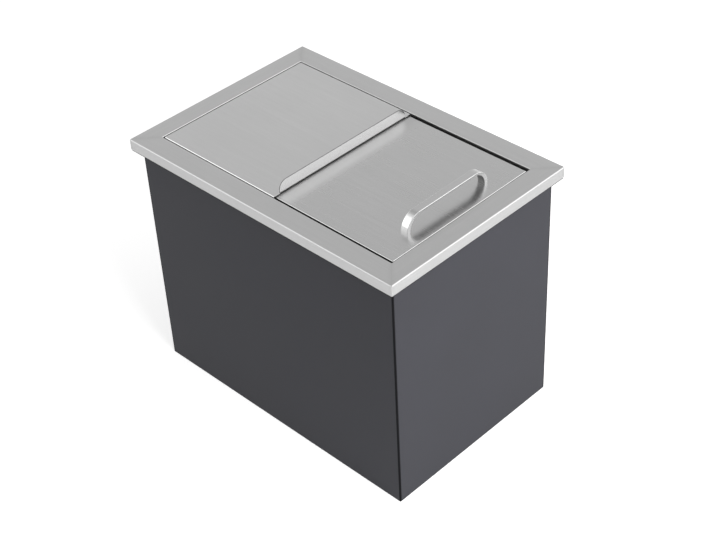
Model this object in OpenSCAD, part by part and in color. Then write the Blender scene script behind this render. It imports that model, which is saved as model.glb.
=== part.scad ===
// Drop-in ice bin with a sliding lid, an insulated case and a drain
// Origin at the centre of the underside, X along the long side, Z up
// The case hangs or stands below a flat rim, and the two lids lie in a seat inside it

/* [Rim] */
// Length of the rim along X
rim_l = 520; // [440:1:640]
// Width of the rim along Y
rim_w = 350; // [300:1:420]
// Height of the rim's top face above the underside of the case
rim_top = 408; // [340:1:480]
// Height of the rim's turned-down lip
rim_lip_h = 18; // [14:0.5:26]
// Width of the rim's flat band at the two short sides
band_x = 33; // [30:0.5:40]
// Width of the rim's flat band at the two long sides
band_y = 35.5; // [32:0.5:42]
// Thickness of the rim's sheet
rim_sheet = 1.2; // [0.8:0.1:2]
// Outside radius of the bend along the rim's outer edge
rim_bend_r = 2; // [1:0.25:2.5]
// Width of the lip's inward return at its lower edge
rim_return_w = 9; // [6:0.5:9.5]
// Thickness of the sealing tape under the lip's return
tape_t = 1.5; // [1:0.25:3]
// Distance from the rim's outer edge to the sealing tape
tape_inset = 1; // [0.5:0.25:3]

/* [Case] */
// Overhang of the rim past the case at the two short sides
overhang_x = 11.5; // [10.5:0.5:16]
// Overhang of the rim past the case at the two long sides
overhang_y = 13; // [10.5:0.5:18]
// Thickness of the case's sheet
case_sheet = 1; // [0.8:0.1:1.5]
// Outside radius of the case's folded edges
case_edge_r = 1.6; // [1:0.1:2.5]
// Height of the skirt below the base panel
skirt_h = 28; // [24:1:40]
// Width of the skirt's inward return at its lower edge
skirt_return_w = 15; // [12:1:20]

/* [Tub] */
// Depth of the lid seat below the rim's top face
seat_depth = 14.5; // [14:0.25:18]
// Width of the lid seat all round the tub's mouth
seat_w = 13; // [12:0.5:16]
// Thickness of the tub's sheet
tub_sheet = 1; // [0.8:0.1:1.5]
// Height of foam between the base panel and the tub's floor
foam_under = 40; // [32:1:60]
// Fall of the tub's floor from each end to the drain
floor_fall = 8; // [3:0.5:14]
// Length of the level strip of floor that holds the drain
sump_l = 74; // [68:1:100]
// Inside radius of the tub's four upright corners
tub_corner_r = 12; // [4:1:25]

/* [Lid seat parts] */
// Width of the slide rails and the end rests
rail_w = 9; // [7:0.5:9.5]
// Gap between the rails or rests and the riser of the seat
rail_inset = 1; // [0.5:0.25:1.5]
// Height of the rails and end rests
rail_h = 2; // [1:0.25:3]
// Running gap between a lid and the rails or rests under it
glide_gap = 0.3; // [0.2:0.1:0.5]
// Radius of the two stop buffers
buffer_r = 3; // [2:0.25:3.5]
// Distance from the seat's corners to the stop buffers
buffer_inset = 43.5; // [20:0.5:60]

/* [Upper lid] */
// Thickness of both lids' sheet
lid_sheet = 1.2; // [0.8:0.1:1.5]
// Outside radius of the lids' folded edges
lid_edge_r = 1.8; // [0.8:0.1:2]
// Gap between the upper lid and the rim on its three outer sides
upper_gap = 1.75; // [1:0.25:2]
// Place of the upturned lip's outer face along X
lip_x = 5; // [0:0.5:20]
// Height of the upturned lip above the rim
lip_h = 17; // [14:0.5:22]
// Distance from each end of the upturned lip to the side of the lid
lip_inset = 12.25; // [2:0.25:40]
// Radius of the upturned lip's two top corners
lip_corner_r = 13; // [6:0.5:14]
// Inside radius of the bend where the lip turns up
lip_bend_r = 1.2; // [0.6:0.1:2]

/* [Lower lid] */
// Step from the rim's top face down to the lower lid's top face
lower_drop = 3; // [2:0.1:4]
// Gap between the lower lid and the flanges of the upper lid beside it
lower_side_gap = 1.5; // [1:0.25:3]
// Gap between the closed lower lid and the right end of the seat
lower_gap = 3; // [2:0.25:5]
// Length of lower lid tucked under the upper lid when it is closed
lower_tuck = 17; // [10:1:30]
// Sideways play that the lower lid takes up as it lies in the seat, towards the rear
lower_play = 1; // [-1:0.25:1]

/* [Handle] */
// Width of the handle's bar along X
grip_w = 12; // [8:0.5:16]
// Length of the handle over its feet
grip_l = 162; // [120:1:200]
// Height of the handle above the lower lid
grip_h = 25; // [20:0.5:32]
// Thickness of the handle's top bar
grip_t = 2.7; // [2:0.1:6]
// Thickness of each handle foot along Y
foot_t = 7; // [6:0.5:14]
// Distance from the lower lid's right edge to the handle's middle
grip_inset = 30.7; // [20:0.1:60]
// Radius of the screws that hold the handle
grip_screw_r = 1.5; // [1:0.25:1.75]
// Depth of the screws in the handle's feet
grip_screw_depth = 6; // [3:0.5:7]

/* [Drain] */
// Outside radius of the drain flange on the tub's floor
drain_flange_r = 28; // [25:0.5:32]
// Thickness of the drain flange
drain_flange_t = 2.5; // [2:0.1:4]
// Outside radius of the drain's threaded shank
shank_r = 16.6; // [15.5:0.1:18]
// Length of the shank below the flange
shank_l = 26; // [24:0.5:29]
// Radius of the drain's bore below the strainer
drain_bore_r = 11.5; // [9:0.25:12]
// Radius of the plug's seat at the flange's top face
plug_seat_r = 15.4; // [15:0.1:15.4]
// Radius of the plug's seat at its lower end
plug_seat_low_r = 13.6; // [13:0.1:13.8]
// Depth of the plug's tapered seat
plug_seat_depth = 9; // [7:0.5:11]
// Thickness of the gasket under the tub's floor
gasket_t = 2; // [1:0.25:3]
// Height of the drain's locknut
nut_h = 8; // [5:0.5:8]
// Radius of the drain's locknut over its corners
nut_r = 23; // [21.5:0.25:25]
// Thickness of the strainer disc
strainer_t = 1.2; // [0.8:0.1:2]
// Radius of each hole in the strainer disc
strainer_hole_r = 2; // [1:0.25:2.5]
// Width of the strainer's rim outside its ring of holes
strainer_rim_w = 2.6; // [2:0.1:4]
// Outside radius of the outlet spout where a hose goes on
spout_r = 12.7; // [12:0.1:13.5]
// Width of the step from the spout's end up to its neck
spout_step_w = 1.8; // [1:0.1:3]
// Height of the spout's neck below the grommet
spout_neck_h = 2; // [1:0.25:4]
// Radius of the outlet spout's bore
spout_bore_r = 10; // [8:0.25:10.5]
// Height of the spout's end above the underside of the case
spout_clear = 4; // [2:0.5:8]
// Wall of the spout's socket round the drain's shank
socket_t = 3; // [2:0.25:3.25]
// Depth of shank that the spout's socket takes
socket_depth = 12; // [8:0.5:12]
// Width of the grommet's ring round the spout
grommet_w = 2.8; // [2:0.1:4]
// Width and thickness of the grommet's two flanges
grommet_flange = [3, 2]; // [1.5:0.5:4]
// Running gap between the plug and its tapered seat
plug_gap = 0.3; // [0.2:0.05:0.5]
// Overlap of the plug's cap on the drain flange
plug_cap_w = 3; // [2:0.25:6]
// Thickness of the plug's cap
plug_cap_t = 3; // [2:0.25:5]
// Height of the plug's pull knob above its cap
knob_h = 16; // [12:0.5:20]
// Radius of the pull knob
knob_r = 7; // [6:0.5:10]
// Radius of the neck below the pull knob
knob_neck_r = 4; // [2.5:0.25:5]

/* [Fixings] */
// Radius of the blind rivets' shanks
rivet_r = 1.65; // [1.4:0.05:2]
// Radius of the rivets' countersunk heads
rivet_head_r = 3.2; // [2.4:0.1:3.6]
// Radius of the rivets' set ends
rivet_bulb_r = 2.6; // [2.2:0.1:3]
// Length of the rivets' set ends
rivet_bulb_h = 3; // [2:0.25:5]
// Number of rivets along each long side
rivets_long = 4; // [2:1:8]
// Number of rivets along each short side
rivets_short = 2; // [1:1:5]
// Outside radius of the washers under the handle's screws
washer_r = 5.5; // [4.5:0.25:6.5]
// Thickness of the washers
washer_t = 1.5; // [0.8:0.1:1.5]
// Radius of the screws' heads
screw_head_r = 4.4; // [3.5:0.1:5]
// Height of the screws' heads
screw_head_h = 3; // [1.5:0.25:3]
// Radius of the hole through which the foam was poured
port_r = 9; // [6:0.5:12]
// Width and thickness of the rim of the cap in that hole
port_cap = [3, 1.5]; // [1:0.5:5]
// Height of the cap's stem above the base panel
port_stem_h = 3; // [2:0.5:8]

/* [Hidden] */
$fn = 48;
arch_fn = 96;
eps = 0.01;
over = 1;
chamfer = 1;

// Outlines of the case, the rim's mouth and the tub
case_l = rim_l - 2 * overhang_x;
case_w = rim_w - 2 * overhang_y;
mouth_l = rim_l - 2 * band_x;
mouth_w = rim_w - 2 * band_y;
tub_l = mouth_l - 2 * seat_w;
tub_w = mouth_w - 2 * seat_w;

// Levels, from the underside upwards
base_top = skirt_h + case_sheet;
floor_under = base_top + foam_under;
floor_top = floor_under + tub_sheet;
rim_under = rim_top - rim_sheet;
lip_bottom = rim_top - rim_lip_h;
seat_top = rim_top - seat_depth;
seat_under = seat_top - tub_sheet;
rail_top = seat_top + rail_h;
lid_foot = rail_top + glide_gap;

// Places and widths of the two lids
upper_left = -mouth_l / 2 + upper_gap;
upper_w = mouth_w - 2 * upper_gap;
lip_l = upper_w - 2 * lip_inset;
lower_w = upper_w - 2 * (lid_sheet + lower_side_gap);
lower_right = mouth_l / 2 - lower_gap;
lower_left = lip_x - lower_tuck;
lower_l = lower_right - lower_left;
lower_top = rim_top - lower_drop;
lower_mid = (lower_left + lower_right) / 2;

// Rails and rests inside the seat
rest_end_gap = 0.5;
rail_y = mouth_w / 2 - rail_inset - rail_w / 2;
rail_l = mouth_l - 2 * rail_inset;
rest_x = mouth_l / 2 - rail_inset - rail_w / 2;
rest_l = 2 * (rail_y - rail_w / 2 - rest_end_gap);

// Handle, whose arched ends start a little above the lid
arch_start = 0.5;
grip_x = lower_right - grip_inset;
foot_y = grip_l / 2 - foot_t / 2;
grip_outer_r = grip_h - arch_start;
grip_inner_r = grip_h - grip_t;

// Drain
drain_top = floor_top + drain_flange_t;
plug_seat_end = drain_top - plug_seat_depth;
shank_end = drain_top - shank_l;
nut_low = floor_under - gasket_t - nut_h;
socket_low = shank_end - socket_t;
socket_wall_r = shank_r + socket_t;
neck_r = spout_r + spout_step_w;
grommet_hole_r = neck_r + grommet_w;
grommet_flange_r = grommet_hole_r + grommet_flange[0];
grommet_low = skirt_h - grommet_flange[1];
grommet_top = base_top + grommet_flange[1];

// Base fixings
rivet_flare = (rivet_head_r - rivet_r) / case_sheet;
rivet_inset = case_sheet + skirt_return_w / 2;
port_x = 150;
port_y = 70;

steel_colour = [0.70, 0.70, 0.69];
black_colour = [0.20, 0.20, 0.22];
rubber_colour = [0.09, 0.09, 0.09];
nylon_colour = [0.16, 0.16, 0.17];
foam_colour = [0.86, 0.80, 0.62];

// Box on the Z axis from its lower to its upper level
module slab(l, w, low, high) {
    translate([-l / 2, -w / 2, low])
        cube([l, w, high - low]);
}

// Slab whose four upright edges are rounded
module rounded_slab(l, w, r, low, high) {
    translate([0, 0, low])
        linear_extrude(high - low) {
            square([l - 2 * r, w], center = true);
            square([l, w - 2 * r], center = true);
            for (x = [-1, 1], y = [-1, 1])
                translate([x * (l / 2 - r), y * (w / 2 - r)])
                    circle(r);
        }
}

// Waste piece that leaves a rounded edge, along X, at an upper edge facing +Y
module edge_waste(r, length) {
    rotate([90, 0, 90])
        translate([0, 0, -length / 2])
            linear_extrude(length)
                difference() {
                    translate([-r, -r])
                        square(r + over);
                    translate([-r, -r])
                        circle(r);
                }
}

// Waste pieces for the upper edges of a rectangle, on the sides that are named
module rim_waste(l, w, r, level, sides = ["left", "right", "front", "rear"]) {
    for (side = sides) {
        along_x = side == "front" || side == "rear";
        turn = side == "rear" ? 0 : side == "front" ? 180 : side == "left" ? 90 : -90;
        reach = along_x ? w / 2 : l / 2;
        rotate([0, 0, turn])
            translate([0, reach, level])
                edge_waste(r, (along_x ? l : w) + 2 * over);
    }
}

// Rim with its turned-down lip and the lip's return
module rim_frame() {
    color(steel_colour)
        difference() {
            rounded_slab(rim_l, rim_w, rim_bend_r, lip_bottom, rim_top);
            slab(rim_l - 2 * rim_sheet, rim_w - 2 * rim_sheet, lip_bottom + rim_sheet, rim_under);
            slab(rim_l - 2 * rim_return_w, rim_w - 2 * rim_return_w,
                lip_bottom - over, lip_bottom + rim_sheet + over);
            slab(mouth_l, mouth_w, rim_under - over, rim_top + over);
            rim_waste(rim_l, rim_w, rim_bend_r, rim_top);
        }
}

// Closed-cell tape that seals the lip against the worktop
module rim_sealing_tape() {
    color(rubber_colour)
        difference() {
            slab(rim_l - 2 * tape_inset, rim_w - 2 * tape_inset, lip_bottom - tape_t, lip_bottom);
            slab(rim_l - 2 * rim_return_w, rim_w - 2 * rim_return_w,
                lip_bottom - tape_t - over, lip_bottom + over);
        }
}

// Stepped frame under the mouth: a riser and the ledge that carries both lids
module lid_seat_frame() {
    color(steel_colour)
        difference() {
            slab(mouth_l + 2 * tub_sheet, mouth_w + 2 * tub_sheet, seat_under, rim_under);
            slab(mouth_l, mouth_w, seat_top, rim_under + over);
            rounded_slab(tub_l, tub_w, tub_corner_r, seat_under - over, seat_top + over);
        }
}

// Outline of the tub's floor in the XZ plane, raised by lift
module floor_line(lift, high) {
    polygon([
        [-tub_l / 2 - 2 * over, floor_under + floor_fall + lift],
        [-tub_l / 2, floor_under + floor_fall + lift],
        [-sump_l / 2, floor_under + lift],
        [sump_l / 2, floor_under + lift],
        [tub_l / 2, floor_under + floor_fall + lift],
        [tub_l / 2 + 2 * over, floor_under + floor_fall + lift],
        [tub_l / 2 + 2 * over, high],
        [-tub_l / 2 - 2 * over, high]
    ]);
}

// Everything above that line, as deep as w along Y
module above_floor(lift, w, high) {
    rotate([90, 0, 0])
        translate([0, 0, -w / 2])
            linear_extrude(w)
                floor_line(lift, high);
}

// Outside of the tub as a solid block
module tub_block(low, high) {
    rounded_slab(tub_l + 2 * tub_sheet, tub_w + 2 * tub_sheet, tub_corner_r + tub_sheet, low, high);
}

// Four walls of the tub, cut along the slope of its floor
module tub_walls() {
    color(steel_colour)
        intersection() {
            difference() {
                tub_block(floor_under, seat_under);
                rounded_slab(tub_l, tub_w, tub_corner_r, floor_under - over, seat_under + over);
            }
            above_floor(0, tub_w + 4 * tub_sheet, seat_under + over);
        }
}

// Floor that falls from both ends to a level strip with the drain hole
module tub_floor() {
    color(steel_colour)
        difference() {
            intersection() {
                rounded_slab(tub_l, tub_w, tub_corner_r, floor_under, floor_top + floor_fall);
                above_floor(0, tub_w + 2 * over, floor_top + floor_fall + over);
            }
            above_floor(tub_sheet, tub_w + 4 * over, floor_top + floor_fall + 2 * over);
            translate([0, 0, floor_under - over])
                cylinder(r = shank_r, h = tub_sheet + 2 * over);
        }
}

// Foam that fills the space between the case, the tub and the lid seat
module foam_insulation() {
    color(foam_colour)
        difference() {
            slab(case_l - 2 * case_sheet, case_w - 2 * case_sheet, base_top, rim_under);
            slab(mouth_l + 2 * tub_sheet, mouth_w + 2 * tub_sheet, seat_under, rim_under + over);
            intersection() {
                tub_block(floor_under, seat_under + over);
                above_floor(0, tub_w + 4 * tub_sheet, seat_under + 2 * over);
            }
            translate([0, 0, nut_low])
                cylinder(r = drain_flange_r, h = gasket_t + nut_h + over);
            translate([0, 0, socket_low])
                cylinder(r = socket_wall_r, h = floor_under - socket_low);
            translate([0, 0, base_top - over])
                cylinder(r = grommet_flange_r, h = grommet_top - base_top + over);
            translate([0, 0, base_top])
                cylinder(r = neck_r, h = foam_under);
            translate([port_x, port_y, base_top - over])
                cylinder(r = port_r, h = port_stem_h + over);
        }
}

// Places of the rivets round the skirt's return
module rivet_places() {
    half_l = case_l / 2 - rivet_inset;
    half_w = case_w / 2 - rivet_inset;
    for (i = [0:rivets_long - 1], y = [-1, 1])
        translate([half_l * (2 * (i + 0.5) / rivets_long - 1), y * half_w, 0])
            children();
    for (i = [0:rivets_short - 1], x = [-1, 1])
        translate([x * half_l, half_w * (2 * (i + 0.5) / rivets_short - 1), 0])
            children();
}

// Painted wrap of the case with its return round the lower edge
module case_wrap() {
    color(black_colour)
        difference() {
            rounded_slab(case_l, case_w, case_edge_r, 0, rim_under);
            slab(case_l - 2 * case_sheet, case_w - 2 * case_sheet, case_sheet, rim_under + over);
            slab(case_l - 2 * (case_sheet + skirt_return_w), case_w - 2 * (case_sheet + skirt_return_w),
                -over, case_sheet + over);
            mirror([0, 0, 1])
                rim_waste(case_l, case_w, case_edge_r, 0);
            rivet_places()
                translate([0, 0, -over])
                    cylinder(r1 = rivet_head_r + rivet_flare * over, r2 = rivet_r,
                        h = case_sheet + over);
        }
}

// Base panel with a flange down inside the skirt and a return on the wrap's return
module case_base() {
    inner_l = case_l - 2 * case_sheet;
    inner_w = case_w - 2 * case_sheet;
    color(black_colour)
        difference() {
            slab(inner_l, inner_w, case_sheet, base_top);
            slab(inner_l - 2 * case_sheet, inner_w - 2 * case_sheet, 2 * case_sheet, skirt_h);
            slab(inner_l - 2 * skirt_return_w, inner_w - 2 * skirt_return_w,
                case_sheet - over, 2 * case_sheet + over);
            rivet_places()
                cylinder(r = rivet_r, h = 3 * case_sheet);
            translate([0, 0, skirt_h - over])
                cylinder(r = grommet_hole_r, h = case_sheet + 2 * over);
            translate([port_x, port_y, skirt_h - over])
                cylinder(r = port_r, h = case_sheet + 2 * over);
        }
}

// Countersunk blind rivets that join the base to the wrap
module base_rivets() {
    color(black_colour)
        rivet_places()
            rotate_extrude()
                polygon([
                    [0, 0],
                    [rivet_head_r, 0],
                    [rivet_r, case_sheet],
                    [rivet_r, 2 * case_sheet],
                    [rivet_bulb_r, 2 * case_sheet],
                    [rivet_bulb_r, 2 * case_sheet + rivet_bulb_h],
                    [0, 2 * case_sheet + rivet_bulb_h]
                ]);
}

// Cap in the hole through which the foam was poured
module foam_port_plug() {
    color(rubber_colour)
        translate([port_x, port_y, 0]) {
            translate([0, 0, skirt_h - port_cap[1]])
                cylinder(r = port_r + port_cap[0], h = port_cap[1]);
            translate([0, 0, skirt_h - eps])
                cylinder(r = port_r, h = case_sheet + port_stem_h + eps);
        }
}

// Rail that the lower lid slides on, which also carries the upper lid
module slide_rail(side) {
    color(nylon_colour)
        translate([0, side * rail_y, 0])
            slab(rail_l, rail_w, seat_top, rail_top);
}

module slide_rail_front() {
    slide_rail(-1);
}

module slide_rail_rear() {
    slide_rail(1);
}

// Rest under one lid's end
module end_rest(side) {
    color(nylon_colour)
        translate([side * rest_x, 0, 0])
            slab(rail_w, rest_l, seat_top, rail_top);
}

module end_rest_left() {
    end_rest(-1);
}

module end_rest_right() {
    end_rest(1);
}

// Buffers on the seat's right riser that stop the lower lid as it closes
module stop_buffers() {
    buffer_t = lower_gap - glide_gap;
    buffer_y = mouth_w / 2 - buffer_inset;
    color(rubber_colour)
        for (y = [-1, 1])
            translate([mouth_l / 2 - buffer_t, y * buffer_y, (rail_top + lower_top) / 2])
                rotate([0, 90, 0])
                    cylinder(r = buffer_r, h = buffer_t);
}

// Flange with a tapered mouth for the plug and a threaded shank
module drain_flange() {
    color(steel_colour)
        rotate_extrude()
            polygon([
                [plug_seat_r, drain_top],
                [drain_flange_r - chamfer, drain_top],
                [drain_flange_r, drain_top - chamfer],
                [drain_flange_r, floor_top],
                [shank_r, floor_top],
                [shank_r, shank_end],
                [drain_bore_r, shank_end],
                [drain_bore_r, plug_seat_end - strainer_t],
                [plug_seat_low_r, plug_seat_end - strainer_t],
                [plug_seat_low_r, plug_seat_end]
            ]);
}

// Washer between the tub's floor and the locknut
module drain_gasket() {
    color(rubber_colour)
        translate([0, 0, floor_under - gasket_t])
            difference() {
                cylinder(r = drain_flange_r, h = gasket_t);
                translate([0, 0, -over])
                    cylinder(r = shank_r, h = gasket_t + 2 * over);
            }
}

// Six-sided nut that clamps the drain flange
module drain_locknut() {
    color(steel_colour)
        translate([0, 0, nut_low])
            difference() {
                cylinder(r = nut_r, h = nut_h, $fn = 6);
                translate([0, 0, -over])
                    cylinder(r = shank_r, h = nut_h + 2 * over);
            }
}

// Perforated disc on the step below the plug's seat
module drain_strainer() {
    hole_ring_r = plug_seat_low_r - strainer_hole_r - strainer_rim_w;
    hole_count = 6;
    color(steel_colour)
        translate([0, 0, plug_seat_end - strainer_t])
            difference() {
                cylinder(r = plug_seat_low_r, h = strainer_t);
                for (i = [0:hole_count - 1])
                    rotate([0, 0, i * 360 / hole_count])
                        translate([hole_ring_r, 0, -over])
                            cylinder(r = strainer_hole_r, h = strainer_t + 2 * over);
                translate([0, 0, -over])
                    cylinder(r = strainer_hole_r, h = strainer_t + 2 * over);
            }
}

// Outlet pipe: a socket on the shank, a neck through the base and a plain end for a hose
module drain_spout() {
    step_z = grommet_low - spout_neck_h;
    color(nylon_colour)
        rotate_extrude()
            polygon([
                [spout_bore_r, spout_clear],
                [spout_r - chamfer, spout_clear],
                [spout_r, spout_clear + chamfer],
                [spout_r, step_z],
                [neck_r, step_z],
                [neck_r, socket_low],
                [socket_wall_r, socket_low],
                [socket_wall_r, shank_end + socket_depth],
                [shank_r, shank_end + socket_depth],
                [shank_r, shank_end],
                [spout_bore_r, shank_end]
            ]);
}

// Ring that seals the spout in the base panel
module base_grommet() {
    color(rubber_colour)
        rotate_extrude()
            polygon([
                [neck_r, grommet_low],
                [grommet_flange_r, grommet_low],
                [grommet_flange_r, skirt_h],
                [grommet_hole_r, skirt_h],
                [grommet_hole_r, base_top],
                [grommet_flange_r, base_top],
                [grommet_flange_r, grommet_top],
                [neck_r, grommet_top]
            ]);
}

// Side view of the upturned lip, in the YZ plane, standing on the lid's underside
module lip_outline() {
    full_h = lip_h + lid_sheet;
    translate([-lip_l / 2, 0])
        square([lip_l, full_h - lip_corner_r]);
    translate([-lip_l / 2 + lip_corner_r, 0])
        square([lip_l - 2 * lip_corner_r, full_h]);
    for (y = [-1, 1])
        translate([y * (lip_l / 2 - lip_corner_r), full_h - lip_corner_r])
            intersection() {
                circle(lip_corner_r);
                translate([-lip_corner_r, 0])
                    square([2 * lip_corner_r, lip_corner_r]);
            }
}

// Fillet inside the bend where the lip turns up
module lip_fillet() {
    translate([lip_x - lid_sheet, lip_l / 2, rim_top])
        rotate([90, 0, 0])
            linear_extrude(lip_l)
                difference() {
                    translate([-lip_bend_r, 0])
                        square(lip_bend_r);
                    translate([-lip_bend_r, lip_bend_r])
                        circle(lip_bend_r);
                }
}

// Fixed lid, flush with the rim, flanged on three sides and turned up on the fourth
module upper_lid() {
    lid_l = lip_x - upper_left;
    lid_mid = (lip_x + upper_left) / 2;
    color(steel_colour)
        difference() {
            union() {
                difference() {
                    translate([lid_mid, 0, 0])
                        slab(lid_l, upper_w, lid_foot, rim_top);
                    translate([lid_mid + lid_sheet, 0, 0])
                        slab(lid_l, upper_w - 2 * lid_sheet, lid_foot - over, rim_top - lid_sheet);
                    translate([lid_mid, 0, 0])
                        rim_waste(lid_l, upper_w, lid_edge_r, rim_top, ["left", "front", "rear"]);
                }
                translate([lip_x - lid_sheet, 0, rim_top - lid_sheet])
                    rotate([90, 0, 90])
                        linear_extrude(lid_sheet)
                            lip_outline();
                lip_fillet();
            }
            translate([lip_x, 0, rim_top - lid_sheet])
                mirror([0, 0, 1])
                    rotate([0, 0, -90])
                        edge_waste(lip_bend_r + lid_sheet, lip_l);
        }
}

// Sliding lid: a shallow tray turned upside down
module lower_lid() {
    color(steel_colour)
        difference() {
            translate([lower_mid, lower_play, 0])
                difference() {
                    slab(lower_l, lower_w, lid_foot, lower_top);
                    slab(lower_l - 2 * lid_sheet, lower_w - 2 * lid_sheet,
                        lid_foot - over, lower_top - lid_sheet);
                    rim_waste(lower_l, lower_w, lid_edge_r, lower_top);
                }
            for (y = [-1, 1])
                translate([grip_x, lower_play + y * foot_y, lower_top - lid_sheet - over])
                    cylinder(r = grip_screw_r, h = lid_sheet + 2 * over);
        }
}

// Side view of the handle, in the YZ plane, standing on the lower lid
module grip_outline() {
    outer_y = grip_l / 2;
    inner_y = outer_y - foot_t;
    difference() {
        union() {
            translate([-outer_y, 0])
                square([grip_l, arch_start]);
            translate([-outer_y + grip_outer_r, 0])
                square([grip_l - 2 * grip_outer_r, grip_h]);
            for (y = [-1, 1])
                translate([y * (outer_y - grip_outer_r), arch_start])
                    circle(grip_outer_r, $fn = arch_fn);
        }
        translate([-inner_y + grip_inner_r, -over])
            square([2 * (inner_y - grip_inner_r), grip_inner_r + over]);
        for (y = [-1, 1])
            translate([y * (inner_y - grip_inner_r), 0])
                circle(grip_inner_r, $fn = arch_fn);
        translate([-grip_l, -grip_l])
            square([2 * grip_l, grip_l]);
    }
}

// Bar handle that bridges from one foot to the other
module lid_handle() {
    color(steel_colour)
        difference() {
            translate([grip_x - grip_w / 2, lower_play, lower_top])
                rotate([90, 0, 90])
                    linear_extrude(grip_w)
                        grip_outline();
            for (y = [-1, 1])
                translate([grip_x, lower_play + y * foot_y, lower_top - over])
                    cylinder(r = grip_screw_r, h = grip_screw_depth + over);
        }
}

// Screws from below into the handle's feet
module handle_screws() {
    under = lower_top - lid_sheet - washer_t;
    color(steel_colour)
        for (y = [-1, 1])
            translate([grip_x, lower_play + y * foot_y, under]) {
                translate([0, 0, -screw_head_h])
                    cylinder(r = screw_head_r, h = screw_head_h);
                translate([0, 0, -eps])
                    cylinder(r = grip_screw_r, h = washer_t + lid_sheet + grip_screw_depth + eps);
            }
}

// Washers under the screws' heads
module handle_washers() {
    color(steel_colour)
        for (y = [-1, 1])
            translate([grip_x, lower_play + y * foot_y, lower_top - lid_sheet - washer_t])
                difference() {
                    cylinder(r = washer_r, h = washer_t);
                    translate([0, 0, -over])
                        cylinder(r = grip_screw_r, h = washer_t + 2 * over);
                }
}

// Tapered stopper with a cap and a pull knob
module drain_plug() {
    taper = (plug_seat_r - plug_seat_low_r) / plug_seat_depth;
    plug_low = plug_seat_end + 1;
    cap_r = plug_seat_r + plug_cap_w;
    cap_low = drain_top + plug_gap;
    cap_top = cap_low + plug_cap_t;
    knob_top = cap_top + knob_h;
    knob_bevel = 2;
    knob_edge_h = 3;
    knob_low = knob_top - 2 * knob_bevel - knob_edge_h;
    color(rubber_colour)
        rotate_extrude()
            polygon([
                [0, plug_low],
                [plug_seat_low_r + taper * (plug_low - plug_seat_end) - plug_gap, plug_low],
                [plug_seat_r - plug_gap, drain_top],
                [plug_seat_r - plug_gap, cap_low],
                [cap_r, cap_low],
                [cap_r, cap_top - chamfer],
                [cap_r - chamfer, cap_top],
                [knob_neck_r, cap_top],
                [knob_neck_r, knob_low],
                [knob_r, knob_low + knob_bevel],
                [knob_r, knob_top - knob_bevel],
                [knob_r - knob_bevel, knob_top],
                [0, knob_top]
            ]);
}

rim_frame();
rim_sealing_tape();
lid_seat_frame();
tub_walls();
tub_floor();
foam_insulation();
case_wrap();
case_base();
base_rivets();
foam_port_plug();
slide_rail_front();
slide_rail_rear();
end_rest_left();
end_rest_right();
stop_buffers();
drain_flange();
drain_gasket();
drain_locknut();
drain_strainer();
drain_spout();
base_grommet();
upper_lid();
lower_lid();
lid_handle();
handle_screws();
handle_washers();
drain_plug();
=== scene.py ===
"""Drop-in ice bin: folded sheet metal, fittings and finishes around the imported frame, on a pale stage."""

import math

import bmesh
import bpy
from bpy.props import FloatProperty, FloatVectorProperty, PointerProperty
from mathutils import Matrix, Vector


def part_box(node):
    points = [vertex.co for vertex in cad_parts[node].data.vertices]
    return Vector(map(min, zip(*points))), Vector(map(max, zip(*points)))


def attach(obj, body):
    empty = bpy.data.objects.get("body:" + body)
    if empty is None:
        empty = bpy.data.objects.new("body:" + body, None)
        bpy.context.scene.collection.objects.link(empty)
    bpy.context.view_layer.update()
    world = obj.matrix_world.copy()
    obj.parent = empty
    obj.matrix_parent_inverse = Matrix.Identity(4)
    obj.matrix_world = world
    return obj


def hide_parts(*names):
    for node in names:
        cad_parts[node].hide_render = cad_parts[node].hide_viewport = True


bl_info = {
    "name": "Drop-in ice bin",
    "version": (1, 0, 0),
    "blender": (4, 5, 0),
    "location": "3D View > Sidebar > Ice bin",
    "description": "Builds the sheet metal, handle, drain and stage of a drop-in ice bin",
    "category": "Object",
}

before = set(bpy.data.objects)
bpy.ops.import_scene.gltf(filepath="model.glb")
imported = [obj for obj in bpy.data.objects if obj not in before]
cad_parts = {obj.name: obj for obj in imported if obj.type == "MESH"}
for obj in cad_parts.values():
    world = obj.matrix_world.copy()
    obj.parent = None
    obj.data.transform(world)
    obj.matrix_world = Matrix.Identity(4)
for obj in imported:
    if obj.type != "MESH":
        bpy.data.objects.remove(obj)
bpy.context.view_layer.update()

MM = 0.001
WELD_DISTANCE = 1e-6

# Steps of bends and corners, of round pieces and holes, and of the upper lid's plate and lip
BEND_STEPS = 6
CORNER_STEPS = 6
TURN_STEPS = 96
SCREW_STEPS = 48
HOLE_STEPS = 32
RIVET_STEPS = 24
ARCH_STEPS = 24
PLATE_STEPS = 10
LIP_STEPS = 12
LIP_CORNER_STEPS = 10
LIP_RISE_STEPS = 6
KEY_SIDES = 6

# Edges sharper than the first angle get rounded, and those sharper than the second stay sharp in shading
ROUNDED_FROM = math.radians(50)
SHARP_FROM = math.radians(38)

# How far a grommet's or cap's brim lies over the sheet round its hole
HOLE_BRIM = 3 * MM
# Border of a lid's plate that is part of its folded edge
PLATE_BORDER = 3 * MM

# Radii that pieces of the drain share
SHANK_R = 16.6 * MM
STRAINER_R = 13.6 * MM
SPOUT_NECK_R = 14.5 * MM

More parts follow.
